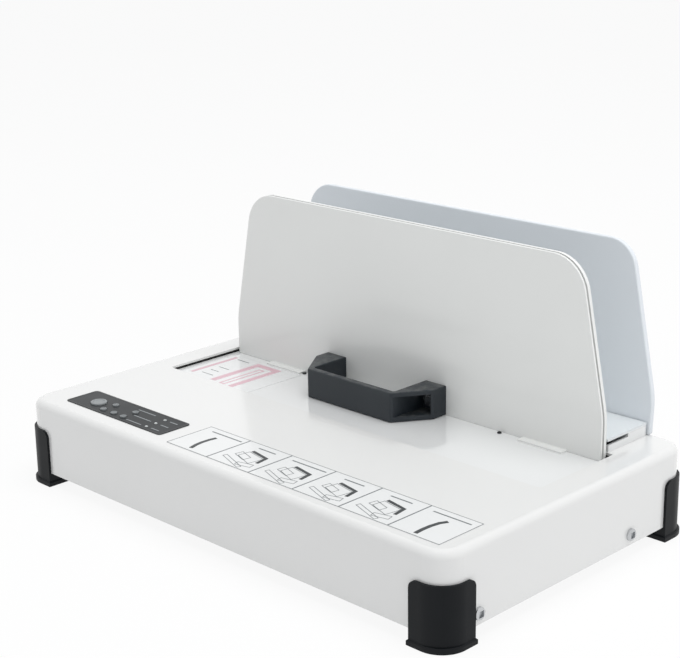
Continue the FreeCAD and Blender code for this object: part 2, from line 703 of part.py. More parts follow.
def make_pull_handle():
    body = new_body("pull_handle")
    plan = sketch_on(body, "XY_Plane", S.handle_low)
    centre = S.handle_centre
    gap_front = S.handle_front + S.handle_bar
    polygon(plan, [
        (centre - S.handle_half, S.plate_front), (centre - S.handle_half, S.handle_shoulder),
        (centre - S.handle_bar_half, S.handle_front), (centre + S.handle_bar_half, S.handle_front),
        (centre + S.handle_half, S.handle_shoulder), (centre + S.handle_half, S.plate_front),
        (centre + S.handle_gap_half, S.plate_front), (centre + S.handle_gap_half, gap_front),
        (centre - S.handle_gap_half, gap_front), (centre - S.handle_gap_half, S.plate_front),
    ])
    pad(body, plan, S.handle_high - S.handle_low)
    for side in (-1, 1):
        fillet(body, upright_at(centre + S.handle_bar_half * side, S.handle_front), S.handle_round)
        fillet(body, upright_at(centre + S.handle_half * side, S.handle_shoulder), S.handle_round)
        fillet(body, upright_at(centre + S.handle_gap_half * side, gap_front), S.handle_round)
    fillet(body, level(S.handle_high), S.handle_edge)

    wells = sketch_on(body, "XZ_Plane", -S.handle_front)
    holes = sketch_on(body, "XZ_Plane", -S.plate_front)
    low = S.handle_low + S.handle_wall
    high = S.handle_high - S.handle_wall
    rectangle(wells, (centre - S.handle_well_outer, low), (centre - S.handle_well_inner, high))
    rectangle(wells, (centre + S.handle_well_inner, low), (centre + S.handle_well_outer, high))
    for side in (-1, 1):
        circle(holes, centre + S.handle_screw * side, handle_z, S.handle_screw_hole)
    pocket(body, wells, S.plate_front - S.handle_back_wall - S.handle_front)
    pocket(body, holes, S.handle_back_wall * 2, reverse=True)


def make_handle():
    make_pull_handle()
    bolts = []
    nuts = []
    for index, side in enumerate((-1, 1)):
        x = S.handle_centre + S.handle_screw * side
        bolts.append(screw(f"handle_bolt_{index}", (x, S.plate_front - S.handle_back_wall, handle_z), BACK,
                           S.handle_screw_radius, S.handle_screw_length, S.handle_head, S.handle_head_height))
        nut_y = S.plate_front + S.plate_sheet
        hexagon = doc.addObject("Part::Prism", f"handle_nut_body_{index}")
        hexagon.Polygon = 6
        bind(hexagon, "Circumradius", S.nut_radius)
        bind(hexagon, "Height", S.nut_height)
        hexagon.Placement = FreeCAD.Placement(FreeCAD.Vector(), FreeCAD.Rotation(UP, BACK))
        place(hexagon, x, nut_y, handle_z)
        bore = cylinder(f"handle_nut_bore_{index}", (x, nut_y, handle_z), S.handle_screw_hole, S.nut_height, BACK)
        nuts.append(cut(f"handle_nut_{index}", hexagon, [bore]))
    group("handle_screws", bolts)
    group("handle_nuts", nuts)


# Slide under the front plate


def make_slide_panel():
    body = new_body("slide_panel")
    outline = sketch_on(body, "XY_Plane", panel_under)
    rectangle(outline, (-S.panel_half, S.panel_front), (S.panel_half, plate_back))
    pad(body, outline, S.plate_sheet)
    fillet(body, upright, S.opening_corner)
    holes = sketch_on(body, "XY_Plane", S.panel_top)
    for x in (S.panel_screw_left, S.panel_screw_right):
        circle(holes, x, S.panel_screw_y, S.panel_screw_hole)
    pocket(body, holes, S.plate_sheet * 2)


def make_slide_carriage():
    body = new_body("slide_carriage")
    block_back = S.block_front + S.block_length
    for side in (-1, 1):
        foot = sketch_on(body, "XY_Plane", S.block_low)
        rectangle(foot, (S.rod_x * side - S.block_half, S.block_front), (S.rod_x * side + S.block_half, block_back))
        pad(body, foot, panel_under - S.block_low)
        if side < 0:
            bar = sketch_on(body, "XY_Plane", panel_under - S.bar_height)
            rectangle(bar, (-S.rod_x, S.bar_front), (S.rod_x, S.bar_back))
            pad(body, bar, S.bar_height)
    bores = sketch_on(body, "XZ_Plane", -block_back)
    for side in (-1, 1):
        circle(bores, S.rod_x * side, S.rod_z, S.bush_radius)
    pocket(body, bores, S.block_length * 2, reverse=True)
    threads = sketch_on(body, "XY_Plane", panel_under)
    for x in (S.panel_screw_left, S.panel_screw_right):
        circle(threads, x, S.panel_screw_y, S.panel_screw_hole)
    pocket(body, threads, S.bar_height * 2)


def make_stand(name, x, front, foot_front):
    """A folded stand that holds one end of a guide rod."""
    web = block(f"{name}_web", (x - S.block_half, front, base_top),
                (x + S.block_half, front + S.stand_sheet, S.stand_top))
    foot = block(f"{name}_foot", (x - S.block_half, foot_front, base_top),
                 (x + S.block_half, foot_front + S.stand_foot, base_top + S.stand_sheet))
    rod_bore = cylinder(f"{name}_bore", (x, front, S.rod_z), S.rod_hole, S.stand_sheet, BACK)
    foot_hole = cylinder(f"{name}_hole", (x, foot_front + S.stand_foot / 2, base_top), S.screw_hole, S.stand_sheet)
    return cut(name, fuse(f"{name}_sheet", [web, foot]), [rod_bore, foot_hole])


def make_slide():
    make_slide_panel()
    make_slide_carriage()
    panel_screws = []
    for index, x in enumerate((S.panel_screw_left, S.panel_screw_right)):
        panel_screws.append(screw(f"panel_screw_{index}", (x, S.panel_screw_y, S.panel_top), DOWN,
                                  S.panel_screw_radius, S.small_length, S.panel_screw_head,
                                  S.panel_screw_head_height))
    group("panel_screws", panel_screws)
    rods, stands, clips, stops, bushes = [], [], [], [], []
    front_face = S.stand_front + S.stand_sheet
    rear_face = S.stand_rear + S.stand_sheet
    bush_starts = (S.block_front, S.block_front + S.block_length - S.bush_length)
    for name, x in (("left", -S.rod_x), ("right", S.rod_x)):
        rods.append(cylinder(f"rod_{name}", (x, S.rod_front, S.rod_z), S.rod_radius, S.rod_length, BACK))
        stands.append(make_stand(f"stand_front_{name}", x, S.stand_front, front_face - S.stand_foot))
        stands.append(make_stand(f"stand_rear_{name}", x, S.stand_rear, S.stand_rear))
        clips.append(ring(f"clip_front_{name}", (x, S.stand_front - S.clip_thick - S.stop_gap, S.rod_z),
                          S.clip_radius, S.rod_hole, S.clip_thick, BACK))
        clips.append(ring(f"clip_rear_{name}", (x, rear_face + S.stop_gap, S.rod_z),
                          S.clip_radius, S.rod_hole, S.clip_thick, BACK))
        stops.append(ring(f"stop_front_{name}", (x, front_face + S.stop_gap, S.rod_z),
                          S.stop_radius, S.stop_hole, S.stop_thick, BACK))
        stops.append(ring(f"stop_rear_{name}", (x, S.stand_rear - S.stop_gap - S.stop_thick, S.rod_z),
                          S.stop_radius, S.stop_hole, S.stop_thick, BACK))
        for index, start in enumerate(bush_starts):
            bushes.append(ring(f"bush_{name}_{index}", (x, start, S.rod_z), S.bush_radius, S.rod_hole,
                               S.bush_length, BACK))
    group("guide_rods", rods)
    group("rod_stands", stands)
    group("rod_clips", clips)
    group("stop_rings", stops)
    group("slide_bushes", bushes)


# Heated platen


def make_heating_platen():
    body = new_body("heating_platen")
    outline = sketch_on(body, "XY_Plane", platen_under)
    rectangle(outline, (-S.platen_half, S.platen_front), (S.platen_half, S.platen_back))
    pad(body, outline, S.platen_thick)
    notches = sketch_on(body, "XY_Plane", S.platen_top)
    for left in (-(S.platen_notch + S.platen_notch_length), S.platen_notch):
        rectangle(notches, (left, S.platen_back - S.platen_notch_depth),
                  (left + S.platen_notch_length, S.platen_back + S.platen_notch_depth))
    pocket(body, notches, S.platen_thick * 2)


def make_heater():
    make_heating_platen()
    posts = []
    spacers = []
    for index, (x, y, z) in enumerate(both_sides(S.post_x, S.post_y, base_top)):
        column = cylinder(f"post_body_{index}", (x, y, z), S.post_radius, platen_under - base_top)
        thread = cylinder(f"post_thread_{index}", (x, y, z), S.screw_hole, S.screw_length)
        posts.append(cut(f"post_{index}", column, [thread]))
    for name, low_x, cheek_x, high_x in (
            ("left", -S.platen_half, S.cheek_sheet - S.platen_half, -S.spacer_inner),
            ("right", S.spacer_inner, S.platen_half - S.cheek_sheet, S.platen_half)):
        rest = block(f"spacer_rest_{name}", (low_x, S.spacer_front, S.body_top), (high_x, S.spacer_back, platen_under))
        cheek_low, cheek_high = (low_x, cheek_x) if name == "left" else (cheek_x, high_x)
        cheek = block(f"spacer_cheek_{name}", (cheek_low, S.cheek_front, S.body_top),
                      (cheek_high, S.spacer_front, S.cheek_top))
        spacers.append(fuse(f"spacer_{name}", [rest, cheek]))
    group("platen_posts", posts)
    group("platen_spacers", spacers)

    heater_back = S.heater_front + S.heater_depth
    keep(block("heater_element", (-S.heater_half, S.heater_front, heater_under),
               (S.heater_half, heater_back, platen_under)), "heater_element")
    keep(block("insulation_pad", (-S.heater_half, S.heater_front, insulation_under),
               (S.heater_half, heater_back, heater_under)), "insulation_pad")
    bar = block("clamp_bar", (-S.clamp_half, S.clamp_front, clamp_under),
                (S.clamp_half, S.clamp_front + S.clamp_depth, insulation_under))
    seats = both_sides(S.clamp_screw, clamp_y, clamp_under)
    holes = [cylinder(f"clamp_hole_{index}", seat, S.small_hole, S.clamp_thick) for index, seat in enumerate(seats)]
    keep(cut("heater_clamp", bar, holes), "heater_clamp")
    small_screws("heater_clamp_screws", seats, UP, platen_under - clamp_under)

    disc_low = clamp_under - S.thermostat_flange
    disc = cylinder("thermostat_disc", (S.thermostat_x, clamp_y, disc_low), S.thermostat_radius, S.thermostat_flange)
    cap = cylinder("thermostat_cap", (S.thermostat_x, clamp_y, disc_low - S.thermostat_cap),
                   S.thermostat_cap_radius, S.thermostat_cap)
    keep(fuse("thermostat", [disc, cap]), "thermostat")
    keep(cylinder("thermal_fuse", (S.fuse_x, clamp_y, clamp_under - S.fuse_radius), S.fuse_radius,
                  S.fuse_length, RIGHT), "thermal_fuse")


# Controls


def make_control_overlay():
    body = new_body("control_overlay")
    outline = sketch_on(body, "XY_Plane", S.body_top)
    rectangle(outline, (S.overlay_left, S.overlay_front), (S.overlay_right, S.overlay_back))
    pad(body, outline, S.overlay_thick)
    fillet(body, upright, S.overlay_corner)
    holes = sketch_on(body, "XY_Plane", S.body_top + S.overlay_thick)
    panel_holes(holes)
    pocket(body, holes, S.overlay_thick * 2)


def make_key(label, spot, radius, flange, top):
    """A push key: its cap, the flange that holds it under the cover, and its stem."""
    x, y = spot
    cap = cylinder(f"{label}_cap", (x, y, S.flange_low), radius, top - S.flange_low)
    rim = cylinder(f"{label}_rim", (x, y, S.flange_low), flange, S.flange_thick)
    stem = cylinder(f"{label}_stem", (x, y, S.stem_low), S.stem_radius, S.flange_low - S.stem_low)
    return keep(fuse(label, [cap, rim, stem]), label)


def make_controls():
    make_control_overlay()
    make_key("power_button", button_place, S.button_radius, S.button_flange, S.button_top)
    for label, spot in key_places.items():
        make_key(label, spot, S.key_radius, S.key_flange, S.key_top)

    board = block("board_blank", (S.board_left, S.board_front, S.board_top - S.board_thick),
                  (S.board_left + S.board_length, S.board_front + S.board_depth, S.board_top))
    holes = []
    spacers = []
    for index, (x, y) in enumerate(board_corners):
        holes.append(cylinder(f"board_hole_{index}", (x, y, S.board_top - S.board_thick), S.small_hole,
                              S.board_thick))
        spacers.append(ring(f"board_spacer_{index}", (x, y, S.board_top), S.board_spacer_radius, S.small_hole,
                            cover_under - S.board_top))
    keep(cut("control_board", board, holes), "control_board")
    group("board_spacers", spacers)
    small_screws("board_screws", [(x, y, S.board_top - S.board_thick) for x, y in board_corners], UP)

    switches = []
    for index, (x, y) in enumerate([button_place, *key_places.values()]):
        half = S.switch_side / 2
        case_top = S.board_top + S.switch_height
        case = block(f"switch_case_{index}", (x - half, y - half, S.board_top), (x + half, y + half, case_top))
        stem = cylinder(f"switch_stem_{index}", (x, y, case_top), S.switch_stem, S.switch_stem_height)
        switches.append(fuse(f"switch_{index}", [case, stem]))
    group("tact_switches", switches)
    lamps = [cylinder(f"lamp_{index}", (x, y, S.board_top), S.lamp_radius, S.lamp_top - S.board_top)
             for index, (x, y) in enumerate(lamp_places)]
    group("status_lamps", lamps)
    keep(cylinder("buzzer", (S.buzzer_x, S.buzzer_y, S.board_top), S.buzzer_radius, S.buzzer_height), "buzzer")


def make_power_supply():
    board = block("power_blank", (S.power_left, S.power_front, S.power_low),
                  (S.power_left + S.power_length, S.power_front + S.power_depth, power_top))
    holes = []
    spacers = []
    for index, (x, y) in enumerate(power_corners):
        holes.append(cylinder(f"power_hole_{index}", (x, y, S.power_low), S.screw_hole, S.board_thick))
        spacers.append(ring(f"power_spacer_{index}", (x, y, base_top), S.board_spacer_radius, S.screw_hole,
                            S.power_low - base_top))
    keep(cut("power_board", board, holes), "power_board")
    group("power_spacers", spacers)

    core_back = S.transformer_y + S.transformer_depth
    core = block("transformer_core", (S.transformer_x, S.transformer_y, power_top),
                 (S.transformer_x + S.transformer_length, core_back, power_top + S.transformer_height))
    coil = block("transformer_coil",
                 (S.transformer_x + S.coil_inset, S.transformer_y - S.coil_proud, power_top + S.coil_proud),
                 (S.transformer_x + S.transformer_length - S.coil_inset, core_back + S.coil_proud,
                  power_top + S.transformer_height - S.coil_proud))
    keep(fuse("transformer", [core, coil]), "transformer")
    keep(block("relay", (S.relay_x, S.relay_y, power_top),
               (S.relay_x + S.relay_length, S.relay_y + S.relay_depth, power_top + S.relay_height)), "relay")


def make_mains_inlet():
    body = new_body("mains_inlet")
    flange = sketch_on(body, "XZ_Plane", -half_depth)
    rectangle(flange, (S.inlet_x - S.inlet_flange_half, S.inlet_z - S.inlet_flange_height),
              (S.inlet_x + S.inlet_flange_half, S.inlet_z + S.inlet_flange_height))
    pad(body, flange, S.inlet_flange_thick, reverse=True)
    box = sketch_on(body, "XZ_Plane", -half_depth)
    rectangle(box, (S.inlet_x - S.inlet_half, S.inlet_z - S.inlet_height),
              (S.inlet_x + S.inlet_half, S.inlet_z + S.inlet_height))
    pad(body, box, S.inlet_depth)
    outer = half_depth + S.inlet_flange_thick
    bay = sketch_on(body, "XZ_Plane", -outer)
    rectangle(bay, (S.inlet_x - S.inlet_bay_half, S.inlet_z - S.inlet_bay_height),
              (S.inlet_x + S.inlet_bay_half, S.inlet_z + S.inlet_bay_height))
    pocket(body, bay, S.inlet_bay_depth, reverse=True)
    holes = sketch_on(body, "XZ_Plane", -outer)
    wells = sketch_on(body, "XZ_Plane", -outer)
    for x, z in inlet_screw_places:
        circle(holes, x, z, S.small_hole)
        circle(wells, x, z, S.small_head)
    pocket(body, holes, S.inlet_flange_thick * 2, reverse=True)
    pocket(body, wells, S.small_head_height, reverse=True)

    bay_end = outer - S.inlet_bay_depth
    pins = []
    for index, (across, rise) in enumerate(((-1, -1), (0, 1), (1, -1))):
        x = S.inlet_x + S.pin_pitch * across
        z = S.inlet_z + S.pin_drop * rise
        pins.append(block(f"pin_{index}", (x - S.pin_thick / 2, bay_end, z - S.pin_tall / 2),
                          (x + S.pin_thick / 2, bay_end + S.pin_length, z + S.pin_tall / 2)))
    group("inlet_pins", pins)
    small_screws("inlet_screws", [(x, outer - S.small_head_height, z) for x, z in inlet_screw_places], FORWARD)


def make_label(label, low, high, base):
    """A thin printed label on a flat surface."""
    keep(block(label, (*low, base), (*high, base + S.label_thick)), label)


def check_document():
    """Stop if any object failed or any sub-part is not a valid solid."""
    for item in doc.Objects:
        if "Invalid" in item.State or "Error" in item.State:
            raise RuntimeError(f"{item.Name} failed: {item.State}")
    for item in sub_parts:
        if item.Shape.isNull() or not item.Shape.isValid() or not item.Shape.Solids:
            raise RuntimeError(f"{item.Label} has no valid solid")


def write_parts():
    os.makedirs("parts", exist_ok=True)
    for item in sub_parts:
        item.Shape.exportStep(os.path.join("parts", f"{item.Label}.step"))


make_housing()
make_plates()
make_handle()
make_slide()
make_heater()
make_controls()
make_power_supply()
make_mains_inlet()
make_label("instruction_label", (S.steps_left, S.steps_front), (S.steps_right, S.steps_back), S.body_top)
make_label("scale_label", (S.scale_left, S.scale_front), (S.scale_right, S.scale_back), S.panel_top)
doc.recompute()
check_document()
write_parts()
print(len(sub_parts), "sub-parts written")
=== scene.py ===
import math

import bmesh
import bpy
from bpy.props import FloatProperty, FloatVectorProperty, PointerProperty
from mathutils import Matrix, Vector


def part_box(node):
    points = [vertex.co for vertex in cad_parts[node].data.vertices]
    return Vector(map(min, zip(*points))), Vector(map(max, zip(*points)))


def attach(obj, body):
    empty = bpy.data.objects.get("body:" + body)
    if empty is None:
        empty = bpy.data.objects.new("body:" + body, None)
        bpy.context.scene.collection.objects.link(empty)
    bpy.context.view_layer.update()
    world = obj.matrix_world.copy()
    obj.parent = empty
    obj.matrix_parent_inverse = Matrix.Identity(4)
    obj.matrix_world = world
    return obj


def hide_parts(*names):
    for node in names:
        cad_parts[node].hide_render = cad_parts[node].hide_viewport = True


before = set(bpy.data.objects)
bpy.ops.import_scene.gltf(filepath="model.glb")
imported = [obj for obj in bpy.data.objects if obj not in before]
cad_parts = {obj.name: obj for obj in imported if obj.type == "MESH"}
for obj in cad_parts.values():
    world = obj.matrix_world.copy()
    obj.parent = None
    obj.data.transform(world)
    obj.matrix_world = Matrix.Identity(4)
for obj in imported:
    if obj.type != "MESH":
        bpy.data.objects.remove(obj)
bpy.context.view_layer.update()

bl_info = {
    "name": "Desktop Binding Machine",
    "version": (1, 0, 0),
    "blender": (4, 5, 0),
    "location": "View3D > Sidebar > Binder",
    "description": "Dresses a desktop thermal binding machine around its solid model",
    "category": "Object",
}

MM = 0.001
TOUCH = 1e-6
NEAR = TOUCH * 10
STRAIGHT = 0.99
SMOOTH_ANGLE = math.radians(35)


# Sizes and colours that a user may change

def from_screen(red, green, blue):
    """A colour as it is read on a screen, 0 to 255, as the linear values that a shader takes."""
    def linear(level):
        share = level / 255
        return share / 12.92 if share <= 0.04045 else ((share + 0.055) / 1.055) ** 2.4
    return (linear(red), linear(green), linear(blue), 1.0)


def colour_of(name, description, *screen):
    """A property that holds a colour, with its default as it is read on a screen."""
    return FloatVectorProperty(name=name, description=description, subtype="COLOR", size=4, min=0, max=1,
                               default=from_screen(*screen))


def length_of(name, description, millimetres):
    """A property that holds a length, with its default in millimetres."""
    return FloatProperty(name=name, description=description, subtype="DISTANCE", unit="LENGTH", min=0,
                         default=millimetres * MM)


class BinderColours(bpy.types.PropertyGroup):
    """Colours of the paints, mouldings and inks."""
    enamel: colour_of("Cover enamel", "Gloss white of the cover", 234, 234, 233)
    panel: colour_of("Panel enamel", "Gloss white of the sliding panel", 239, 240, 240)
    plate: colour_of("Front plate", "Satin light grey of the front plate", 243, 244, 242)
    rear: colour_of("Rear plate", "Cool silver grey of the rear plate", 233, 238, 243)
    rubber: colour_of("Feet", "Black of the corner feet", 11, 15, 19)
    handle: colour_of("Handle", "Charcoal of the pull handle", 28, 36, 43)
    film: colour_of("Control film", "Dark grey of the control overlay", 20, 25, 29)
    film_edge: colour_of("Film border", "Darker line round the control overlay", 22, 26, 29)
    film_mark: colour_of("Film marks", "Pale rules printed on the control overlay", 142, 147, 150)
    key: colour_of("Keys", "Grey of the small keys", 128, 132, 134)
    button: colour_of("Button", "Light grey of the round button", 147, 151, 153)
    lens: colour_of("Lamp lens", "Milky lens of the status lamps", 196, 200, 200)
    label: colour_of("Label", "Film of the two labels", 236, 237, 237)
    ink: colour_of("Dark ink", "Ink of the step pictures", 52, 56, 58)
    rule: colour_of("Rule ink", "Ink of the thin outlines", 112, 117, 119)
    pink: colour_of("Pink ink", "Ink of the bars on the panel's label", 224, 186, 196)


class BinderSizes(bpy.types.PropertyGroup):
    """Sizes of the small details."""
    ink_height: length_of("Ink height", "How far a print stands above its label", 0.05)
    rule_width: length_of("Rule width", "Width of the outlines on the strip label", 0.9)
    thin_line: length_of("Thin line", "Width of the fine lines in a step picture", 0.45)
    bold_line: length_of("Bold line", "Width of the bold strokes in a step picture", 2.4)
    spine_line: length_of("Spine line", "Width of the stroke that stands for a spine", 2.8)
    recess_width: length_of("Recess width", "Width of a cross recess in a head 3.5 mm in radius", 1.1)
    cap_rim: length_of("Cap rim", "Width of the raised rim on the round button", 1.3)
    cap_dish: length_of("Cap dish", "Depth of the dish in the round button", 0.35)
    lens_dome: length_of("Lens dome", "Rounding of a lamp lens", 0.75)


class BinderStage(bpy.types.PropertyGroup):
    """The camera, the lamps and the floor."""
    lens: FloatProperty(name="Lens", description="Focal length of the camera", default=84.2, min=1,
                        subtype="DISTANCE_CAMERA", unit="CAMERA")
    eye: FloatVectorProperty(name="Eye", description="Place of the camera", subtype="TRANSLATION",
                             unit="LENGTH", default=(0.6846, -0.6857, 0.4099))
    azimuth: FloatProperty(name="Azimuth", description="Camera's turn to the right of the front",
                           unit="ROTATION", subtype="ANGLE", default=math.radians(44.943))
    elevation: FloatProperty(name="Elevation", description="How far the camera looks down", unit="ROTATION",
                             subtype="ANGLE", default=math.radians(16.728))
    roll: FloatProperty(name="Roll", description="Tilt of the picture", unit="ROTATION", subtype="ANGLE",
                        default=math.radians(-0.848))
    sky: FloatProperty(name="Sky", description="Strength of the even light from all round",
                       default=0.54, min=0)
    top_lamp: FloatProperty(name="Overhead lamp", description="Power of the soft box over the slot",
                            subtype="POWER", unit="POWER", default=17.5, min=0)
    side_lamp: FloatProperty(name="Side lamp", description="Power of the soft box at the right",
                             subtype="POWER", unit="POWER", default=3, min=0)
    floor_lift: FloatProperty(name="Floor lift",
                              description="Share of plain white in the floor as it is seen",
                              subtype="FACTOR", default=0.9, min=0, max=1)


# Working in object and edit mode

def start_piece():
    """Leave edit mode with nothing selected, before a new piece is added."""
    if bpy.context.object is not None and bpy.context.object.mode != "OBJECT":
        bpy.ops.object.mode_set(mode="OBJECT")
    bpy.ops.object.select_all(action="DESELECT")


def choose(kind, test):
    """Select only the corners, edges or faces of the open mesh that pass a test."""
    bpy.ops.mesh.select_mode(type={"verts": "VERT", "edges": "EDGE", "faces": "FACE"}[kind])
    bpy.ops.mesh.select_all(action="DESELECT")
    mesh = bmesh.from_edit_mesh(bpy.context.object.data)
    found = [item for item in getattr(mesh, kind) if test(item)]
    if not found:
        raise RuntimeError(f"nothing to select on {bpy.context.object.name}")
    for item in found:
        item.select_set(True)
    mesh.select_flush_mode()
    bmesh.update_edit_mesh(bpy.context.object.data)


def facing(direction):
    """Test for the faces that look in one direction."""
    return lambda face: face.normal.dot(Vector(direction)) > STRAIGHT


def at_height(height, radius=None):
    """Test for the edges or faces that lie flat at a height, and with a radius, on that circle about Z."""
    def test(item):
        for corner in item.verts:
            if abs(corner.co.z - height) > TOUCH:
                return False
            if radius is not None and abs(corner.co.xy.length - radius) > NEAR:
                return False
        return True
    return test


def push(z):
    """Extrude what is selected along Z."""
    bpy.ops.mesh.extrude_region_move(TRANSFORM_OT_translate={"value": (0, 0, z)})


def widen(share):
    """Scale what is selected about the Z axis."""
    bpy.ops.transform.resize(value=(share, share, 1), center_override=(0, 0, 0))


def step_out(share):
    """Extrude a ring in place and scale it about the Z axis."""
    push(0)
    widen(share)


def close_mesh():
    """Merge doubles, turn the faces outwards and leave edit mode."""
    bpy.ops.mesh.select_all(action="SELECT")
    bpy.ops.mesh.remove_doubles(threshold=TOUCH)
    bpy.ops.mesh.normals_make_consistent(inside=False)
    bpy.ops.object.mode_set(mode="OBJECT")


def close_patch():
    """Merge doubles of a flat patch, which looks up from the start, and leave edit mode."""
    bpy.ops.mesh.select_all(action="SELECT")
    bpy.ops.mesh.remove_doubles(threshold=TOUCH)
    bpy.ops.object.mode_set(mode="OBJECT")


def apply_modifier(piece, kind, **settings):
    """Add a modifier to the active piece and apply it."""
    modifier = piece.modifiers.new(kind.title(), kind)
    for name, value in settings.items():
        setattr(modifier, name, value)
    bpy.ops.object.modifier_apply(modifier=modifier.name)


def only(piece):
    """Make one piece the only selected and the active one."""
    start_piece()
    piece.select_set(True)
    bpy.context.view_layer.objects.active = piece


def settle(piece, name):
    """Name a piece and move its place into its mesh."""
    only(piece)
    bpy.ops.object.transform_apply(location=True, rotation=True, scale=True)
    bpy.ops.object.shade_smooth_by_angle(angle=SMOOTH_ANGLE)
    piece.name = name
    piece.data.name = name
    return piece


def copy_to(piece, place):
    """A copy of a piece with its own mesh, at a place."""
    twin = piece.copy()
    twin.data = piece.data.copy()
    bpy.context.scene.collection.objects.link(twin)
    twin.matrix_world = place
    return twin


def join(pieces, name):
    """Join separate forms into one piece."""
    start_piece()
    for piece in pieces:
        piece.select_set(True)
    bpy.context.view_layer.objects.active = pieces[0]
    bpy.ops.object.transform_apply(location=True, rotation=True, scale=True)
    if len(pieces) > 1:
        bpy.ops.object.join()
    return settle(bpy.context.object, name)


def hand_over(piece, body, slot, finish, *nodes):
    """Paint a piece, fix it to a body and let it stand for its nodes."""
    piece.data.materials.clear()
    piece.data.materials.append(finish)
    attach(piece, body)
    if nodes:
        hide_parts(*nodes)
    only(piece)


# Shader groups that the finishes share

def new_group(name, inputs, outputs):
    """An empty shader group with its sockets, its input node and its output node."""
    group = bpy.data.node_groups.new(name, "ShaderNodeTree")
    for label, kind in inputs:
        group.interface.new_socket(label, in_out="INPUT", socket_type=f"NodeSocket{kind}")
    for label, kind in outputs:
        group.interface.new_socket(label, in_out="OUTPUT", socket_type=f"NodeSocket{kind}")
    return group, group.nodes.new("NodeGroupInput").outputs, group.nodes.new("NodeGroupOutput").inputs


def noise_in(group, vector, scale, detail, roughness=0.5):
    """A noise texture in a group, with its scale taken from a socket."""
    noise = group.nodes.new("ShaderNodeTexNoise")
    noise.inputs["Detail"].default_value = detail
    noise.inputs["Roughness"].default_value = roughness
    group.links.new(vector, noise.inputs["Vector"])
    group.links.new(scale, noise.inputs["Scale"])
    return noise.outputs["Fac"]


def spread_in(group, value, low, high, start, end):
    """Spread a value from one range to another; the ends may be numbers or sockets."""
    spread = group.nodes.new("ShaderNodeMapRange")
    group.links.new(value, spread.inputs["Value"])
    for label, level in (("From Min", low), ("From Max", high), ("To Min", start), ("To Max", end)):
        if isinstance(level, bpy.types.NodeSocket):
            group.links.new(level, spread.inputs[label])
        else:
            spread.inputs[label].default_value = level
    return spread.outputs["Result"]


def blend_in(group, share, first, second):
    """Mix two colours by a share."""
    mix = group.nodes.new("ShaderNodeMix")
    mix.data_type = "RGBA"
    group.links.new(share, mix.inputs["Factor"])
    group.links.new(first, mix.inputs["A"])
    group.links.new(second, mix.inputs["B"])
    return mix.outputs["Result"]


TONE_BAND = (0.32, 0.68)
SMUDGE_BAND = (0.3, 0.7)
DUST_AND_SHEEN_SLOPE = (0.2, 1.0)
DUST_AND_SHEEN_BAND = (0.4, 0.75)


def make_handled_surface():
    """Soft changes of tone, and a roughness that varies as on a surface that hands have wiped."""
    group, given, result = new_group(
        "Handled Surface",
        [("Vector", "Vector"), ("Colour", "Color"), ("Second Colour", "Color"), ("Tone Scale", "Float"),
         ("Smudge Scale", "Float"), ("Smooth", "Float"), ("Rough", "Float")],
        [("Colour", "Color"), ("Roughness", "Float")])
    tone = noise_in(group, given["Vector"], given["Tone Scale"], 4)
    share = spread_in(group, tone, *TONE_BAND, 0.0, 1.0)
    group.links.new(blend_in(group, share, given["Colour"], given["Second Colour"]), result["Colour"])
    smudge = noise_in(group, given["Vector"], given["Smudge Scale"], 5, 0.62)
    roughness = spread_in(group, smudge, *SMUDGE_BAND, given["Smooth"], given["Rough"])
    group.links.new(roughness, result["Roughness"])
    return group


def make_fine_grain():
    """The height of a fine grain: orange peel on paint, spark grain on a moulding, drawn lines on metal."""
    group, given, result = new_group(
        "Fine Grain", [("Vector", "Vector"), ("Scale", "Float")], [("Height", "Float")])
    group.links.new(noise_in(group, given["Vector"], given["Scale"], 3, 0.55), result["Height"])
    return group


def make_dust_and_top_sheen():
    """A mask of faces that look up: thin dust, and a painted lighter sheen where light falls on their tops.
    """
    group, given, result = new_group(
        "Settled Dust", [("Vector", "Vector"), ("Scale", "Float"), ("Amount", "Float")],
        [("Mask", "Float")])
    surface = group.nodes.new("ShaderNodeNewGeometry")
    parts = group.nodes.new("ShaderNodeSeparateXYZ")
    group.links.new(surface.outputs["Normal"], parts.inputs["Vector"])
    upward = spread_in(group, parts.outputs["Z"], *DUST_AND_SHEEN_SLOPE, 0.0, given["Amount"])
    top_specks = spread_in(group, noise_in(group, given["Vector"], given["Scale"], 6, 0.7), *DUST_AND_SHEEN_BAND, 0.0, 1.0)
    on_top = group.nodes.new("ShaderNodeMath")
    on_top.operation = "MULTIPLY"
    group.links.new(upward, on_top.inputs[0])
    group.links.new(top_specks, on_top.inputs[1])
    group.links.new(on_top.outputs["Value"], result["Mask"])
    return group


def make_zinc_spangle():
    """The flat crystals of a zinc coating, as a mask."""
    group, given, result = new_group(
        "Zinc Spangle", [("Vector", "Vector"), ("Scale", "Float")], [("Mask", "Float")])
    crystals = group.nodes.new("ShaderNodeTexVoronoi")
    group.links.new(given["Vector"], crystals.inputs["Vector"])
    group.links.new(given["Scale"], crystals.inputs["Scale"])
    shade = group.nodes.new("ShaderNodeRGBToBW")
    group.links.new(crystals.outputs["Color"], shade.inputs["Color"])
    group.links.new(shade.outputs["Val"], result["Mask"])
    return group


# Finishes

# Lighter grey mixed onto upward faces: partly dust, partly a painted highlight on the tops
DUST_AND_SHEEN_COLOUR = from_screen(150, 150, 146)
DUST_AND_SHEEN_SCALE = 190
SPANGLE_SCALE = 160
SPANGLE_SHARE = 0.35
SPANGLE_LIGHT = 1.25
SPANGLE_DARK = 0.86
SPANGLE_DEPTH = 0.01


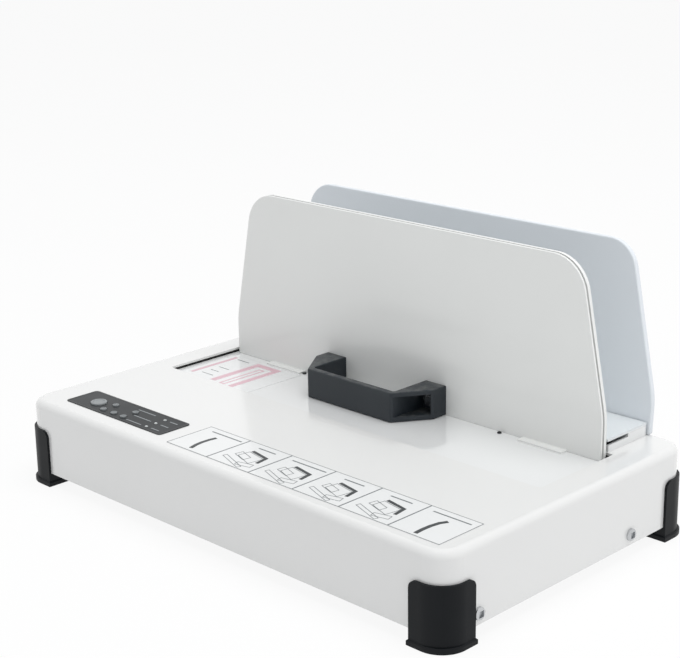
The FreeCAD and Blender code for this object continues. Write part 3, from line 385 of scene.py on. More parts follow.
class Finish:
    """A material in the making: its tree, its shader and its object coordinates."""

    def __init__(self, name, stretch=(1, 1, 1)):
        self.material = bpy.data.materials.new(name)
        self.material.use_nodes = True
        self.tree = self.material.node_tree
        self.shader = self.tree.nodes["Principled BSDF"]
        where = self.tree.nodes.new("ShaderNodeTexCoord")
        mapping = self.tree.nodes.new("ShaderNodeMapping")
        mapping.inputs["Scale"].default_value = stretch
        self.tree.links.new(where.outputs["Object"], mapping.inputs["Vector"])
        self.vector = mapping.outputs["Vector"]

    def put(self, group_name, **values):
        """Place a shared group and set its own values."""
        node = self.tree.nodes.new("ShaderNodeGroup")
        node.node_tree = bpy.data.node_groups[group_name]
        self.tree.links.new(self.vector, node.inputs["Vector"])
        for label, value in values.items():
            node.inputs[label.replace("_", " ")].default_value = value
        return node.outputs

    def paint(self, colour, roughness):
        """Take the shader's colour and roughness from two sockets."""
        self.tree.links.new(colour, self.shader.inputs["Base Color"])
        self.tree.links.new(roughness, self.shader.inputs["Roughness"])

    def raise_grain(self, height, depth):
        """A bump whose full height is a depth in millimetres."""
        bump = self.tree.nodes.new("ShaderNodeBump")
        bump.inputs["Strength"].default_value = 1
        bump.inputs["Distance"].default_value = depth * MM
        self.tree.links.new(height, bump.inputs["Height"])
        self.tree.links.new(bump.outputs["Normal"], self.shader.inputs["Normal"])

    def mix(self, share, first, second):
        """Mix a socket's colour with a plain colour by a mask."""
        node = self.tree.nodes.new("ShaderNodeMix")
        node.data_type = "RGBA"
        node.inputs["B"].default_value = second
        self.tree.links.new(share, node.inputs["Factor"])
        self.tree.links.new(first, node.inputs["A"])
        return node.outputs["Result"]

    def fix(self, **values):
        """Set values that are the same all over on the shader's own sockets."""
        for label, value in values.items():
            self.shader.inputs[label.replace("_", " ")].default_value = value


def shade(colour, share):
    """A colour made darker or lighter."""
    return tuple(min(1.0, level * share) for level in colour[:3]) + (1.0,)


def coated(name, colour, tones, gloss, grain, smudge_scale=14, dust=0.0, stretch=(1, 1, 1), **fixed):
    """A paint, moulding, film or metal: two near tones, a varying roughness and a fine grain.

    tones: the darker tone's share of the colour, and how fine its patches are. gloss: the least and the most
    roughness. grain: how fine the grain is, and its depth in millimetres. fixed: the shader's other values.
    """
    finish = Finish(name, stretch)
    darker, patches = tones
    smooth, rough = gloss
    fineness, depth = grain
    surface = finish.put("Handled Surface", Colour=tuple(colour), Second_Colour=shade(colour, darker),
                         Tone_Scale=patches, Smudge_Scale=smudge_scale, Smooth=smooth, Rough=rough)
    shown = surface["Colour"]
    # Faces that look up are painted lighter: partly dust, partly a painted sheen where light falls on top
    if dust:
        top_specks = finish.put("Settled Dust", Scale=DUST_AND_SHEEN_SCALE, Amount=dust)
        shown = finish.mix(top_specks["Mask"], shown, DUST_AND_SHEEN_COLOUR)
    finish.paint(shown, surface["Roughness"])
    finish.raise_grain(finish.put("Fine Grain", Scale=fineness)["Height"], depth)
    finish.fix(**fixed)
    return finish.material


def spangled(name, colour):
    """Zinc-coated sheet: crystals with slightly different shades and gloss."""
    finish = Finish(name)
    surface = finish.put("Handled Surface", Colour=colour, Second_Colour=shade(colour, SPANGLE_DARK),
                         Tone_Scale=30, Smudge_Scale=50, Smooth=0.32, Rough=0.5)
    crystals = finish.put("Zinc Spangle", Scale=SPANGLE_SCALE)
    share = finish.tree.nodes.new("ShaderNodeMath")
    share.operation = "MULTIPLY"
    share.inputs[1].default_value = SPANGLE_SHARE
    finish.tree.links.new(crystals["Mask"], share.inputs[0])
    shown = finish.mix(share.outputs["Value"], surface["Colour"], shade(colour, SPANGLE_LIGHT))
    finish.paint(shown, surface["Roughness"])
    finish.raise_grain(crystals["Mask"], SPANGLE_DEPTH)
    finish.fix(Metallic=1.0)
    return finish.material


def make_finishes(colours):
    """All finishes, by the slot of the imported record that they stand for, and the inks."""
    make_handled_surface()
    make_fine_grain()
    make_dust_and_top_sheen()
    make_zinc_spangle()
    return {
        "white_paint": coated(
            "Gloss white enamel", colours.enamel, tones=(0.985, 7), gloss=(0.1, 0.16), grain=(380, 0.002),
            Coat_Weight=1.0, Coat_Roughness=0.22, Coat_IOR=1.6),
        "panel_paint": coated(
            "Panel enamel", colours.panel, tones=(0.985, 8), gloss=(0.1, 0.16), grain=(380, 0.002),
            Coat_Weight=1.0, Coat_Roughness=0.03, Coat_IOR=1.75),
        "plate_paint": coated(
            "Gloss plate paint", colours.plate, tones=(0.97, 8), gloss=(0.3, 0.42), grain=(900, 0.003),
            Coat_Weight=0.6, Coat_Roughness=0.08),
        "rear_plate_paint": coated(
            "Silver plate paint", colours.rear, tones=(0.965, 8), gloss=(0.3, 0.42), grain=(900, 0.012)),
        "zinc_sheet": spangled("Zinc-coated sheet", from_screen(172, 176, 178)),
        "bright_steel": coated(
            "Bright steel", from_screen(200, 202, 204), tones=(0.9, 160), gloss=(0.16, 0.3),
            grain=(1500, 0.004), smudge_scale=300, Metallic=1.0),
        "black_steel": coated(
            "Blackened steel", from_screen(58, 60, 62), tones=(0.85, 160), gloss=(0.3, 0.45),
            grain=(1500, 0.004), smudge_scale=300, Metallic=1.0),
        "black_rubber": coated(
            "Moulded black rubber", colours.rubber, tones=(0.88, 30), gloss=(0.42, 0.56), grain=(1600, 0.03),
            dust=0.01, Specular_IOR_Level=0.2),
        # The amount 0.3 paints the handle's upward faces lighter: mostly a painted highlight on its top, a
        # little dust
        "charcoal_plastic": coated(
            "Charcoal moulding", colours.handle, tones=(0.9, 26), gloss=(0.4, 0.52), grain=(1500, 0.03),
            dust=0.3, Specular_IOR_Level=0.5),
        "platen_aluminium": coated(
            "Anodised platen", from_screen(234, 238, 240), tones=(0.96, 12), gloss=(0.3, 0.42),
            grain=(220, 0.008), stretch=(0.06, 1, 1), Metallic=0.15),
        "cast_aluminium": coated(
            "Cast aluminium", from_screen(168, 170, 172), tones=(0.86, 90), gloss=(0.45, 0.62),
            grain=(700, 0.05), Metallic=1.0),
        "dark_film": coated(
            "Printed control film", colours.film, tones=(0.94, 20), gloss=(0.34, 0.44), grain=(1800, 0.012),
            Specular_IOR_Level=0.3),
        "grey_key": coated(
            "Grey key moulding", colours.key, tones=(0.96, 60), gloss=(0.34, 0.44), grain=(1800, 0.012),
            Specular_IOR_Level=0.3),
        "light button": coated(
            "Light button moulding", colours.button, tones=(0.96, 60), gloss=(0.34, 0.44),
            grain=(1800, 0.012), Specular_IOR_Level=0.3),
        "lamp_lens": coated(
            "Milky lamp lens", colours.lens, tones=(0.96, 200), gloss=(0.08, 0.14), grain=(900, 0.004),
            Coat_Weight=0.5),
        "label_film": coated(
            "Label film", colours.label, tones=(0.985, 20), gloss=(0.2, 0.28), grain=(500, 0.006),
            Coat_Weight=0.6, Coat_Roughness=0.05),
        "circuit_board": coated(
            "Green circuit board", from_screen(34, 84, 58), tones=(0.75, 240), gloss=(0.3, 0.42),
            grain=(600, 0.02)),
        "black_plastic": coated(
            "Black moulding", from_screen(30, 31, 33), tones=(0.85, 40), gloss=(0.36, 0.48),
            grain=(1500, 0.03)),
        "mica_board": coated(
            "Mica board", from_screen(196, 176, 138), tones=(0.8, 120), gloss=(0.5, 0.68),
            grain=(900, 0.06)),
        "bronze": coated(
            "Sintered bronze", from_screen(184, 140, 88), tones=(0.8, 260), gloss=(0.38, 0.52),
            grain=(2200, 0.02), Metallic=1.0),
        "iron_core": coated(
            "Laminated iron", from_screen(92, 92, 94), tones=(0.7, 60), gloss=(0.45, 0.6),
            grain=(900, 0.08), stretch=(1, 1, 6), Metallic=0.8),
        "dark ink": coated(
            "Dark ink", colours.ink, tones=(0.9, 120), gloss=(0.34, 0.46), grain=(1200, 0.006)),
        "rule ink": coated(
            "Rule ink", colours.rule, tones=(0.93, 120), gloss=(0.34, 0.46), grain=(1200, 0.006)),
        "pink ink": coated(
            "Pink ink", colours.pink, tones=(0.95, 60), gloss=(0.3, 0.4), grain=(1200, 0.006)),
        "film border": coated(
            "Film border ink", colours.film_edge, tones=(0.93, 60), gloss=(0.34, 0.46), grain=(1200, 0.006)),
        "film mark": coated(
            "Film mark ink", colours.film_mark, tones=(0.93, 60), gloss=(0.34, 0.46), grain=(1200, 0.006)),
    }


finishes = {}


class BINDER_OT_finishes(bpy.types.Operator):
    """Make the finishes and give each carried node the one of its slot."""
    bl_idname = "binder.finishes"
    bl_label = "Finishes"

    def execute(self, context):
        finishes.update(make_finishes(context.scene.binder_colours))
        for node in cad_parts.values():
            for slot in node.material_slots:
                slot.material = finishes[slot.material.name]
        return {"FINISHED"}


# Ink on the labels

PLANE_CORNERS = ((-0.5, -0.5), (0.5, -0.5), (0.5, 0.5), (-0.5, 0.5))
ROUNDING_STEPS = 5
MITRE_LIMIT = 0.4


def lay_patch(corners, height, rounding=0):
    """A flat four-cornered patch in edit mode: a plane whose corners are pulled to their places."""
    start_piece()
    bpy.ops.mesh.primitive_plane_add(size=1, enter_editmode=True, location=(0, 0, 0))
    for start, corner in zip(PLANE_CORNERS, corners):
        choose("verts", lambda vert: (vert.co.xy - Vector(start)).length < NEAR)
        bpy.ops.transform.translate(value=(corner[0] - start[0], corner[1] - start[1], height))
    bpy.ops.mesh.select_all(action="SELECT")
    if rounding:
        bpy.ops.mesh.bevel(offset=rounding, segments=ROUNDING_STEPS, affect="VERTICES")
        bpy.ops.mesh.select_all(action="SELECT")


def open_patch(width):
    """Leave only an outline of the selected patch."""
    bpy.ops.mesh.inset(thickness=width)
    bpy.ops.mesh.delete(type="FACE")


def ink_patch(corners, height, ink, outline=0, rounding=0):
    """A patch of ink with its own small height, filled or as an outline."""
    lay_patch(corners, height, rounding)
    if outline:
        open_patch(outline)
    close_patch()
    apply_modifier(bpy.context.object, "SOLIDIFY", thickness=ink, offset=1)
    return bpy.context.object


def stroke_patches(points, width, height, ink):
    """A stroke of ink along some points: one mitred patch for each stretch."""
    points = [Vector(point) for point in points]
    sides = []
    for index, point in enumerate(points):
        before = (point - points[index - 1]).normalized() if index else None
        after = (points[index + 1] - point).normalized() if index + 1 < len(points) else None
        if before is None or after is None:
            along = before or after
            reach = width / 2
        else:
            along = (before + after).normalized()
            reach = width / 2 / max(MITRE_LIMIT, along.dot(after))
        across = Vector((-along.y, along.x)) * reach
        sides.append((point - across, point + across))
    patches = []
    for (low, high), (next_low, next_high) in zip(sides, sides[1:]):
        patches.append(ink_patch((low, next_low, next_high, high), height, ink))
    return patches


def box_corners(left, front, right, back):
    """The corners of an upright rectangle."""
    return (left, front), (right, front), (right, back), (left, back)


def shifted(points, left, front):
    """Points given in millimetres in a cell, at the cell's place in metres."""
    return [(left + x * MM, front + y * MM) for x, y in points]


STEP_CELLS = 6
SPINE_STROKES = {0: ((19.4, 3.4), (17.7, 9.0), (17.0, 14.5), (17.2, 20.5), (18.2, 25.5)),
                 5: ((18.2, 2.6), (17.8, 9.0), (18.0, 15.5), (19.1, 21.5), (21.4, 26.0))}
CORNER_STROKE = ((14.4, 25.6), (29.6, 22.6), (30.9, 13.4))
LEAF_EDGE = ((5.4, 8.6), (26.8, 0.9), (27.8, 3.9), (6.3, 11.8))
SHEET = ((12.2, 15.0), (27.2, 9.4), (29.2, 20.9), (13.6, 24.0))
INNER_SHEET = ((9.0, 15.4), (20.4, 11.6), (21.6, 17.6), (10.2, 21.4))
BED = ((21.5, 3.5), (33.0, 6.0), (32.0, 10.6), (20.4, 8.0))
HEADING_BAND = ((7.4, 35.0), (13.4, 28.4), (5.6, 34.4), (12.0, 28.0), (11.2, 27.8), (5.8, 33.4))
HEADING_RULE = (31.0, 32.1)


class BINDER_OT_step_print(bpy.types.Operator):
    """Print the strip label: six outlined cells, each with a plain picture of one step."""
    bl_idname = "binder.step_print"
    bl_label = "Step pictures"

    def execute(self, context):
        sizes = context.scene.binder_sizes
        low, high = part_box("instruction_label")
        ink = sizes.ink_height
        top = high.z
        width = (high.x - low.x) / STEP_CELLS

        start_piece()
        bpy.ops.mesh.primitive_grid_add(x_subdivisions=STEP_CELLS, y_subdivisions=1, size=1,
                                        enter_editmode=True,
                                        location=((low.x + high.x) / 2, (low.y + high.y) / 2, top))
        if len(bmesh.from_edit_mesh(bpy.context.object.data).faces) != STEP_CELLS:
            raise RuntimeError("the strip has a wrong number of cells")
        bpy.ops.mesh.select_all(action="SELECT")
        bpy.ops.transform.resize(value=(high.x - low.x, high.y - low.y, 1))
        bpy.ops.mesh.inset(thickness=sizes.rule_width / 2, use_individual=True)
        bpy.ops.mesh.delete(type="FACE")
        close_patch()
        apply_modifier(bpy.context.object, "SOLIDIFY", thickness=ink, offset=1)
        rules = [bpy.context.object]

        bold = []
        for cell in range(STEP_CELLS):
            left = low.x + width * cell
            start, end = HEADING_BAND[cell]
            band = shifted(box_corners(start, HEADING_RULE[0], end, HEADING_RULE[1]), left, low.y)
            rules.append(ink_patch(band, top, ink))
            if cell in SPINE_STROKES:
                spine = shifted(SPINE_STROKES[cell], left, low.y)
                bold += stroke_patches(spine, sizes.spine_line, top, ink)
                continue
            bold += stroke_patches(shifted(CORNER_STROKE, left, low.y), sizes.bold_line, top, ink)
            for outline in (LEAF_EDGE, SHEET, INNER_SHEET, BED):
                rules.append(ink_patch(shifted(outline, left, low.y), top, ink, sizes.thin_line))

        hand_over(join(rules, "step_rules"), "housing", "label_film", finishes["rule ink"])
        hand_over(join(bold, "step_pictures"), "housing", "label_film", finishes["dark ink"])
        return {"FINISHED"}


PINK_BARS = (((-155.6, 4.0), (-152.6, 4.0), (-152.6, 47.5), (-155.6, 47.5)),
             ((-131.2, 1.5), (-126.2, 1.5), (-126.2, 47.5), (-131.2, 47.5)),
             ((-111.0, -3.0), (-106.4, -3.0), (-106.4, 47.5), (-111.0, 47.5)),
             ((-126.2, 42.5), (-111.0, 42.5), (-111.0, 47.5), (-126.2, 47.5)))
PINK_OUTLINE = ((-121.0, 0.5), (-115.4, 0.5), (-115.4, 39.5), (-121.0, 39.5))
PALE_RULES = (((-147.5, 8.0), (-136.0, 8.0), (-136.0, 8.7), (-147.5, 8.7)),
              ((-147.5, 16.0), (-139.0, 16.0), (-139.0, 16.7), (-147.5, 16.7)),
              ((-147.5, 24.0), (-137.0, 24.0), (-137.0, 24.7), (-147.5, 24.7)),
              ((-150.0, 44.0), (-138.0, 44.0), (-138.0, 44.9), (-150.0, 44.9)))
PINK_OUTLINE_SHARE = 1.6


class BINDER_OT_scale_print(bpy.types.Operator):
    """Print the pale label on the sliding panel: pink bars and a few grey rules."""
    bl_idname = "binder.scale_print"
    bl_label = "Panel label print"

    def execute(self, context):
        sizes = context.scene.binder_sizes
        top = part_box("scale_label")[1].z
        ink = sizes.ink_height
        bars = [ink_patch(shifted(bar, 0, 0), top, ink) for bar in PINK_BARS]
        outline = sizes.rule_width * PINK_OUTLINE_SHARE
        bars.append(ink_patch(shifted(PINK_OUTLINE, 0, 0), top, ink, outline))
        hand_over(join(bars, "scale_bars"), "clamp", "label_film", finishes["pink ink"])
        rules = [ink_patch(shifted(rule, 0, 0), top, ink) for rule in PALE_RULES]
        hand_over(join(rules, "scale_rules"), "clamp", "label_film", finishes["rule ink"])
        return {"FINISHED"}


FILM_BORDER = 1.1
FILM_CORNER = 2.0
FILM_RULES = ((-110.0, -78.6, -92.5), (-104.0, -87.4, -86.5), (-101.5, -95.6, -86.5), (-76.5, -79.7, -69.0),
              (-76.5, -87.4, -69.0), (-76.5, -95.1, -69.0))
FILM_RULE_WIDTH = 0.9


class BINDER_OT_film_print(bpy.types.Operator):
    """Print the control film: a darker border, and pale rules beside the keys and lamps."""
    bl_idname = "binder.film_print"
    bl_label = "Control film print"

    def execute(self, context):
        sizes = context.scene.binder_sizes
        low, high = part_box("control_overlay")
        inset = FILM_BORDER * MM / 2
        corners = box_corners(low.x + inset, low.y + inset, high.x - inset, high.y - inset)
        border = ink_patch(corners, high.z, sizes.ink_height, FILM_BORDER * MM, FILM_CORNER * MM)
        hand_over(join([border], "film_border"), "housing", "dark_film", finishes["film border"])
        rules = []
        for left, middle, right in FILM_RULES:
            corners = box_corners(left, middle - FILM_RULE_WIDTH / 2, right, middle + FILM_RULE_WIDTH / 2)
            rules.append(ink_patch(shifted(corners, 0, 0), high.z, sizes.ink_height))
        hand_over(join(rules, "film_rules"), "housing", "dark_film", finishes["film mark"])
        return {"FINISHED"}


# Button, keys and lamps

FLANGE_LOW = 54.8 * MM
FLANGE_THICK = 1.4 * MM
STEM_LOW = 52 * MM
STEM_RADIUS = 2 * MM
RIM_SLOPE = 0.35
RIM_ROUND = 0.45
BUTTON_LIP = 1.2 * MM
KEY_LIP = 1.0 * MM
KEY_SHARE = 0.6


def model_cap(radius, flange, top, rim, dish):
    """A key cap about the Z axis: a dished top with a round edge, a flange under the cover and a stem."""
    start_piece()
    low = FLANGE_LOW + FLANGE_THICK
    bpy.ops.mesh.primitive_cylinder_add(vertices=48, radius=radius, depth=top - low, enter_editmode=True,
                                        location=(0, 0, (top + low) / 2))
    bpy.ops.object.mode_set(mode="OBJECT")
    bpy.ops.object.transform_apply(location=True)
    bpy.ops.object.mode_set(mode="EDIT")
    choose("faces", facing((0, 0, -1)))
    step_out(flange / radius)
    push(-FLANGE_THICK)
    step_out(STEM_RADIUS / flange)
    push(STEM_LOW - FLANGE_LOW)
    looks_up = facing((0, 0, 1))
    choose("faces", lambda face: looks_up(face) and abs(face.calc_center_median().z - top) < TOUCH)
    bpy.ops.mesh.inset(thickness=rim)
    bpy.ops.mesh.inset(thickness=rim * RIM_SLOPE)
    bpy.ops.transform.translate(value=(0, 0, -dish))
    choose("edges", at_height(top, radius))
    bpy.ops.mesh.bevel(offset=rim * RIM_ROUND, segments=4, affect="EDGES")
    close_mesh()
    return bpy.context.object


class BINDER_OT_power_button(bpy.types.Operator):
    """Model the large round button."""
    bl_idname = "binder.power_button"
    bl_label = "Round button"

    def execute(self, context):
        sizes = context.scene.binder_sizes
        low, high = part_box("power_button")
        flange = (high.x - low.x) / 2
        cap = model_cap(flange - BUTTON_LIP, flange, high.z, sizes.cap_rim, sizes.cap_dish)
        cap.location = ((low.x + high.x) / 2, (low.y + high.y) / 2, 0)
        cap = settle(cap, "power_button_cap")
        hand_over(cap, "power_button", "grey_key", finishes["light button"], "power_button")
        return {"FINISHED"}


KEYS = ("key_1", "key_2", "key_3", "key_4", "key_5")


class BINDER_OT_keys(bpy.types.Operator):
    """Model one small key and copy it to the five places."""
    bl_idname = "binder.keys"
    bl_label = "Small keys"

    def execute(self, context):
        sizes = context.scene.binder_sizes
        low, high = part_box(KEYS[0])
        flange = (high.x - low.x) / 2
        pattern = model_cap(flange - KEY_LIP, flange, high.z, sizes.cap_rim * KEY_SHARE,
                            sizes.cap_dish * KEY_SHARE)
        for key in KEYS:
            low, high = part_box(key)
            cap = copy_to(pattern, Matrix.Translation(((low.x + high.x) / 2, (low.y + high.y) / 2, 0)))
            hand_over(settle(cap, f"{key}_cap"), key, "grey_key", finishes["grey_key"], key)
        bpy.data.objects.remove(pattern)
        return {"FINISHED"}


class BINDER_OT_status_lamps(bpy.types.Operator):
    """Model a lamp with a domed lens and copy it to the three places."""
    bl_idname = "binder.status_lamps"
    bl_label = "Status lamps"

    def execute(self, context):
        dome = context.scene.binder_sizes.lens_dome
        low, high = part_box("status_lamps")
        radius = (high.x - low.x) / 2
        start_piece()
        bpy.ops.mesh.primitive_cylinder_add(vertices=32, radius=radius, depth=high.z - low.z,
                                            enter_editmode=True, location=(0, 0, (high.z + low.z) / 2))
        bpy.ops.object.mode_set(mode="OBJECT")
        bpy.ops.object.transform_apply(location=True)
        bpy.ops.object.mode_set(mode="EDIT")
        choose("edges", at_height(high.z, radius))
        bpy.ops.mesh.bevel(offset=dome, segments=6, affect="EDGES")
        close_mesh()
        pattern = bpy.context.object
        lenses = []
        for y in (low.y + radius, (low.y + high.y) / 2, high.y - radius):
            lenses.append(copy_to(pattern, Matrix.Translation(((low.x + high.x) / 2, y, 0))))
        bpy.data.objects.remove(pattern)
        lenses = join(lenses, "status_lamp_lenses")
        hand_over(lenses, "housing", "lamp_lens", finishes["lamp_lens"], "status_lamps")
        return {"FINISHED"}


# Screws

def islands(mesh):
    """The corners of each separate solid in a mesh."""
    left = set(mesh.verts)
    while left:
        found = {left.pop()}
        edge_of_search = list(found)
        while edge_of_search:
            vert = edge_of_search.pop()
            near = {edge.other_vert(vert) for edge in vert.link_edges} - found
            found |= near
            edge_of_search += near
        left -= found
        yield [vert.co.copy() for vert in found]


class ScrewPlace:
    """One screw of a node: its axis, its head and its shank, read from the solid."""

    def __init__(self, corners):
        low = Vector(min(corner[axis] for corner in corners) for axis in range(3))
        high = Vector(max(corner[axis] for corner in corners) for axis in range(3))
        middle = (low + high) / 2
        extent = high - low
        along = max(range(3), key=lambda axis: extent[axis])
        self.axis = Vector((0, 0, 0))
        self.axis[along] = 1

        def off_axis(corner):
            away = corner - middle
            return (away - self.axis * away.dot(self.axis)).length

        def reach(end):
            return max(off_axis(corner) for corner in corners if abs(corner[along] - end) < NEAR)

        ends = (low[along], high[along])
        radii = (reach(ends[0]), reach(ends[1]))
        self.head_radius = max(extent[axis] for axis in range(3) if axis != along) / 2
        top = 1 if radii[1] > radii[0] else 0
        self.shank_radius = radii[1 - top]
        if top == 0:
            self.axis = -self.axis
        self.length = extent[along]
        self.head_top = middle + self.axis * self.length / 2
        on_rim = [corner for corner in corners if off_axis(corner) > self.head_radius - NEAR]
        self.head_height = max(abs(corner[along] - ends[top]) for corner in on_rim)

    def matrix(self):
        """Where a screw that is modelled with its head top at the origin, looking up, has to go."""
        turn = Vector((0, 0, 1)).rotation_difference(self.axis).to_matrix().to_4x4()
        return Matrix.Translation(self.head_top) @ turn


def screw_places(node):
    """The places of the screws in a node, from left to right, front to back and low to high."""
    mesh = bmesh.new()
    mesh.from_mesh(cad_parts[node].data)
    bmesh.ops.remove_doubles(mesh, verts=mesh.verts, dist=TOUCH)
    places = [ScrewPlace(corners) for corners in islands(mesh)]
    mesh.free()
    return sorted(places, key=lambda place: [round(value, 5) for value in place.head_top])


# Shares of a screw head's height and radius
HEAD_ROUND = 0.62
RECESS_DEPTH = 1.3
RECESS_REACH = 0.58
RECESS_TAPER = 0.72


def model_screw(place, slot_width):
    """A pan-head screw with a cross recess, its head's top at the origin and looking up."""
    radius = place.head_radius
    height = place.head_height
    start_piece()
    bpy.ops.mesh.primitive_cylinder_add(vertices=40, radius=radius, depth=height,
                                        location=(0, 0, -height / 2))
    bpy.ops.object.transform_apply(location=True)
    bpy.ops.object.mode_set(mode="EDIT")
    choose("faces", facing((0, 0, -1)))
    step_out(place.shank_radius / radius)
    push(height - place.length)
    choose("edges", at_height(0, radius))
    bpy.ops.mesh.bevel(offset=min(height, radius) * HEAD_ROUND, segments=5, affect="EDGES")
    close_mesh()
    screw = bpy.context.object

    start_piece()
    bpy.ops.mesh.primitive_cube_add(size=1, enter_editmode=True, location=(0, 0, 0))
    bpy.ops.transform.resize(value=(slot_width, slot_width, height * RECESS_DEPTH))
    for direction in ((1, 0, 0), (-1, 0, 0), (0, 1, 0), (0, -1, 0)):
        choose("faces", facing(direction))
        reach = Vector(direction) * (radius * RECESS_REACH - slot_width / 2)
        bpy.ops.mesh.extrude_region_move(TRANSFORM_OT_translate={"value": reach})
    choose("faces", facing((0, 0, -1)))
    widen(RECESS_TAPER)
    close_mesh()
    cutter = bpy.context.object

    only(screw)
    apply_modifier(screw, "BOOLEAN", object=cutter, operation="DIFFERENCE", solver="EXACT")
    bpy.data.objects.remove(cutter)
    return screw


SCREW_NODES = {"side_screws": ("housing", "bright_steel"), "rear_plate_screws": ("housing", "bright_steel"),
               "inlet_screws": ("housing", "bright_steel"), "base_screws": ("housing", "bright_steel"),
               "foot_screws": ("housing", "bright_steel"), "panel_screws": ("clamp", "black_steel")}
PATTERN_HEAD_RADIUS = 3.5 * MM


class BINDER_OT_screws(bpy.types.Operator):
    """Model the screws that show, with round heads and cross recesses."""
    bl_idname = "binder.screws"
    bl_label = "Screws"

    def execute(self, context):
        slot_width = context.scene.binder_sizes.recess_width
        for node, (body, slot) in SCREW_NODES.items():
            places = screw_places(node)
            pattern = model_screw(places[0], slot_width * places[0].head_radius / PATTERN_HEAD_RADIUS)
            screws = [copy_to(pattern, place.matrix()) for place in places]
            bpy.data.objects.remove(pattern)
            hand_over(join(screws, f"{node}_cross_head"), body, slot, finishes[slot], node)
        return {"FINISHED"}


# Stage

FLOOR_SIZE = 7.0
FLOOR_COLOUR = (0.93, 0.93, 0.93, 1)
FLOOR_SECOND_COLOUR = (0.91, 0.91, 0.91, 1)
SKY_COLOUR = (0.97, 0.985, 1.0, 1.0)
LAMP_TARGET = Vector((0, 0, 0.06))
OVERHEAD_PLACE = (0.25, 0.05, 1.8)
OVERHEAD_SIZE = 1.2
SIDE_PLACE = (1.5, 0.15, 0.8)
SIDE_SIZE = 1.0
NEAREST_SEEN = 0.05


def light_path_white(tree):
    """One where the camera, a mirror or glass looks, and nought for the light on the object."""
    path = tree.nodes.new("ShaderNodeLightPath")
    total = path.outputs["Is Camera Ray"]
    for label in ("Is Glossy Ray", "Is Transmission Ray"):
        add = tree.nodes.new("ShaderNodeMath")
        add.operation = "MAXIMUM"
        tree.links.new(total, add.inputs[0])
        tree.links.new(path.outputs[label], add.inputs[1])
        total = add.outputs["Value"]
    return total


def make_sky(scene, strength):
    """Even light from all round, with plain white where it is seen."""
    world = bpy.data.worlds.new("Plain room")
    world.use_nodes = True
    scene.world = world
    tree = world.node_tree
    light = tree.nodes["Background"]
    light.inputs["Color"].default_value = SKY_COLOUR
    light.inputs["Strength"].default_value = strength
    seen = tree.nodes.new("ShaderNodeBackground")
    seen.inputs["Color"].default_value = (1, 1, 1, 1)
    seen.inputs["Strength"].default_value = 1
    pick = tree.nodes.new("ShaderNodeMixShader")
    tree.links.new(light_path_white(tree), pick.inputs["Fac"])
    tree.links.new(light.outputs["Background"], pick.inputs[1])
    tree.links.new(seen.outputs["Background"], pick.inputs[2])
    tree.links.new(pick.outputs["Shader"], tree.nodes["World Output"].inputs["Surface"])


def make_floor_finish(lift):
    """Matt white floor that keeps the shadow and is lifted towards plain white where it is seen."""
    finish = Finish("White studio floor")
    surface = finish.put("Handled Surface", Colour=FLOOR_COLOUR, Second_Colour=FLOOR_SECOND_COLOUR,
                         Tone_Scale=2, Smudge_Scale=3, Smooth=0.8, Rough=0.95)
    finish.paint(surface["Colour"], surface["Roughness"])
    finish.fix(Specular_IOR_Level=0.1)
    tree = finish.tree
    glow = tree.nodes.new("ShaderNodeEmission")
    glow.inputs["Strength"].default_value = 1
    share = tree.nodes.new("ShaderNodeMath")
    share.operation = "MULTIPLY"
    share.inputs[1].default_value = lift
    tree.links.new(light_path_white(tree), share.inputs[0])
    mix = tree.nodes.new("ShaderNodeMixShader")
    tree.links.new(share.outputs["Value"], mix.inputs["Fac"])
    tree.links.new(finish.shader.outputs["BSDF"], mix.inputs[1])
    tree.links.new(glow.outputs["Emission"], mix.inputs[2])
    tree.links.new(mix.outputs["Shader"], tree.nodes["Material Output"].inputs["Surface"])
    return finish.material


def soft_box(name, place, size, power):
    """A square soft box that looks at the middle of the machine, and that the gloss doesn't mirror."""
    start_piece()
    bpy.ops.object.light_add(type="AREA", location=place)
    lamp = bpy.context.object
    lamp.name = name
    lamp.data.shape = "SQUARE"
    lamp.data.size = size
    lamp.data.energy = power
    lamp.visible_glossy = False
    lamp.rotation_euler = (LAMP_TARGET - Vector(place)).to_track_quat("-Z", "Y").to_euler()


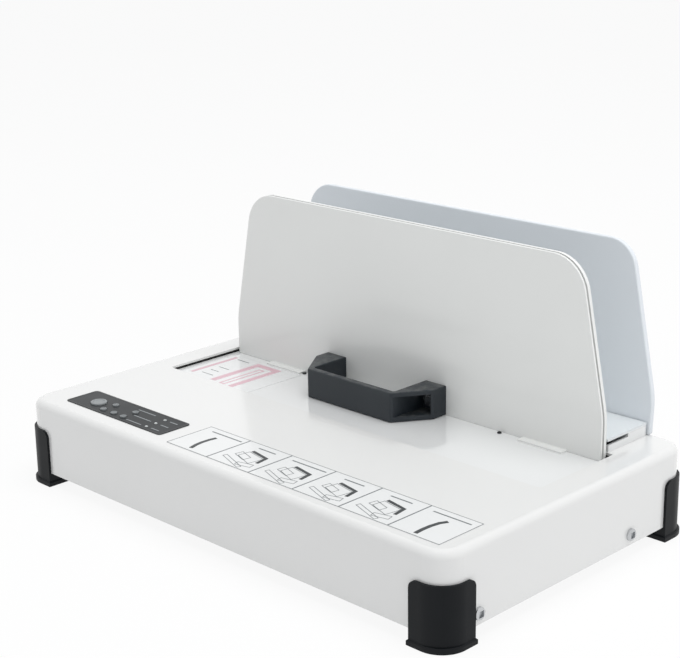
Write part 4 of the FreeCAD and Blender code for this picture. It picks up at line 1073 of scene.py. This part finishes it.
class BINDER_OT_stage(bpy.types.Operator):
    """Set up the floor, the light and the camera."""
    bl_idname = "binder.stage"
    bl_label = "Stage"

    def execute(self, context):
        scene = context.scene
        stage = scene.binder_stage
        scene.view_settings.view_transform = "Standard"
        make_sky(scene, stage.sky)

        start_piece()
        bpy.ops.mesh.primitive_plane_add(size=FLOOR_SIZE, location=(0, 0, 0))
        floor = settle(bpy.context.object, "studio_floor")
        floor.data.materials.append(make_floor_finish(stage.floor_lift))

        soft_box("overhead_lamp", OVERHEAD_PLACE, OVERHEAD_SIZE, stage.top_lamp)
        soft_box("side_lamp", SIDE_PLACE, SIDE_SIZE, stage.side_lamp)

        forward = Vector((-math.sin(stage.azimuth) * math.cos(stage.elevation),
                          math.cos(stage.azimuth) * math.cos(stage.elevation),
                          -math.sin(stage.elevation)))
        turn = forward.to_track_quat("-Z", "Y").to_matrix() @ Matrix.Rotation(stage.roll, 3, "Z")
        start_piece()
        bpy.ops.object.camera_add(location=stage.eye, rotation=turn.to_euler())
        camera = bpy.context.object
        camera.name = "photo_camera"
        camera.data.lens = stage.lens
        camera.data.clip_start = NEAREST_SEEN
        scene.camera = camera
        return {"FINISHED"}


class BINDER_PT_panel(bpy.types.Panel):
    """Lists the steps that dress the machine, and their values."""
    bl_idname = "BINDER_PT_panel"
    bl_label = "Binding machine"
    bl_space_type = "VIEW_3D"
    bl_region_type = "UI"
    bl_category = "Binder"

    def draw(self, context):
        for operator in OPERATORS:
            self.layout.operator(operator.bl_idname)
        for group in PROPERTY_GROUPS:
            values = getattr(context.scene, group)
            box = self.layout.box()
            for name in values.__annotations__:
                box.prop(values, name)


PROPERTY_GROUPS = {
    "binder_colours": BinderColours,
    "binder_sizes": BinderSizes,
    "binder_stage": BinderStage,
}
OPERATORS = (
    BINDER_OT_finishes, BINDER_OT_stage, BINDER_OT_step_print, BINDER_OT_scale_print, BINDER_OT_film_print,
    BINDER_OT_power_button, BINDER_OT_keys, BINDER_OT_status_lamps, BINDER_OT_screws,
)


def register():
    for name, group in PROPERTY_GROUPS.items():
        bpy.utils.register_class(group)
        setattr(bpy.types.Scene, name, PointerProperty(type=group))
    for operator in OPERATORS:
        bpy.utils.register_class(operator)
    bpy.utils.register_class(BINDER_PT_panel)


def unregister():
    bpy.utils.unregister_class(BINDER_PT_panel)
    for operator in reversed(OPERATORS):
        bpy.utils.unregister_class(operator)
    for name, group in PROPERTY_GROUPS.items():
        delattr(bpy.types.Scene, name)
        bpy.utils.unregister_class(group)


def main():
    register()
    for operator in OPERATORS:
        family, name = operator.bl_idname.split(".")
        getattr(getattr(bpy.ops, family), name)()


if __name__ == "__main__":
    main()
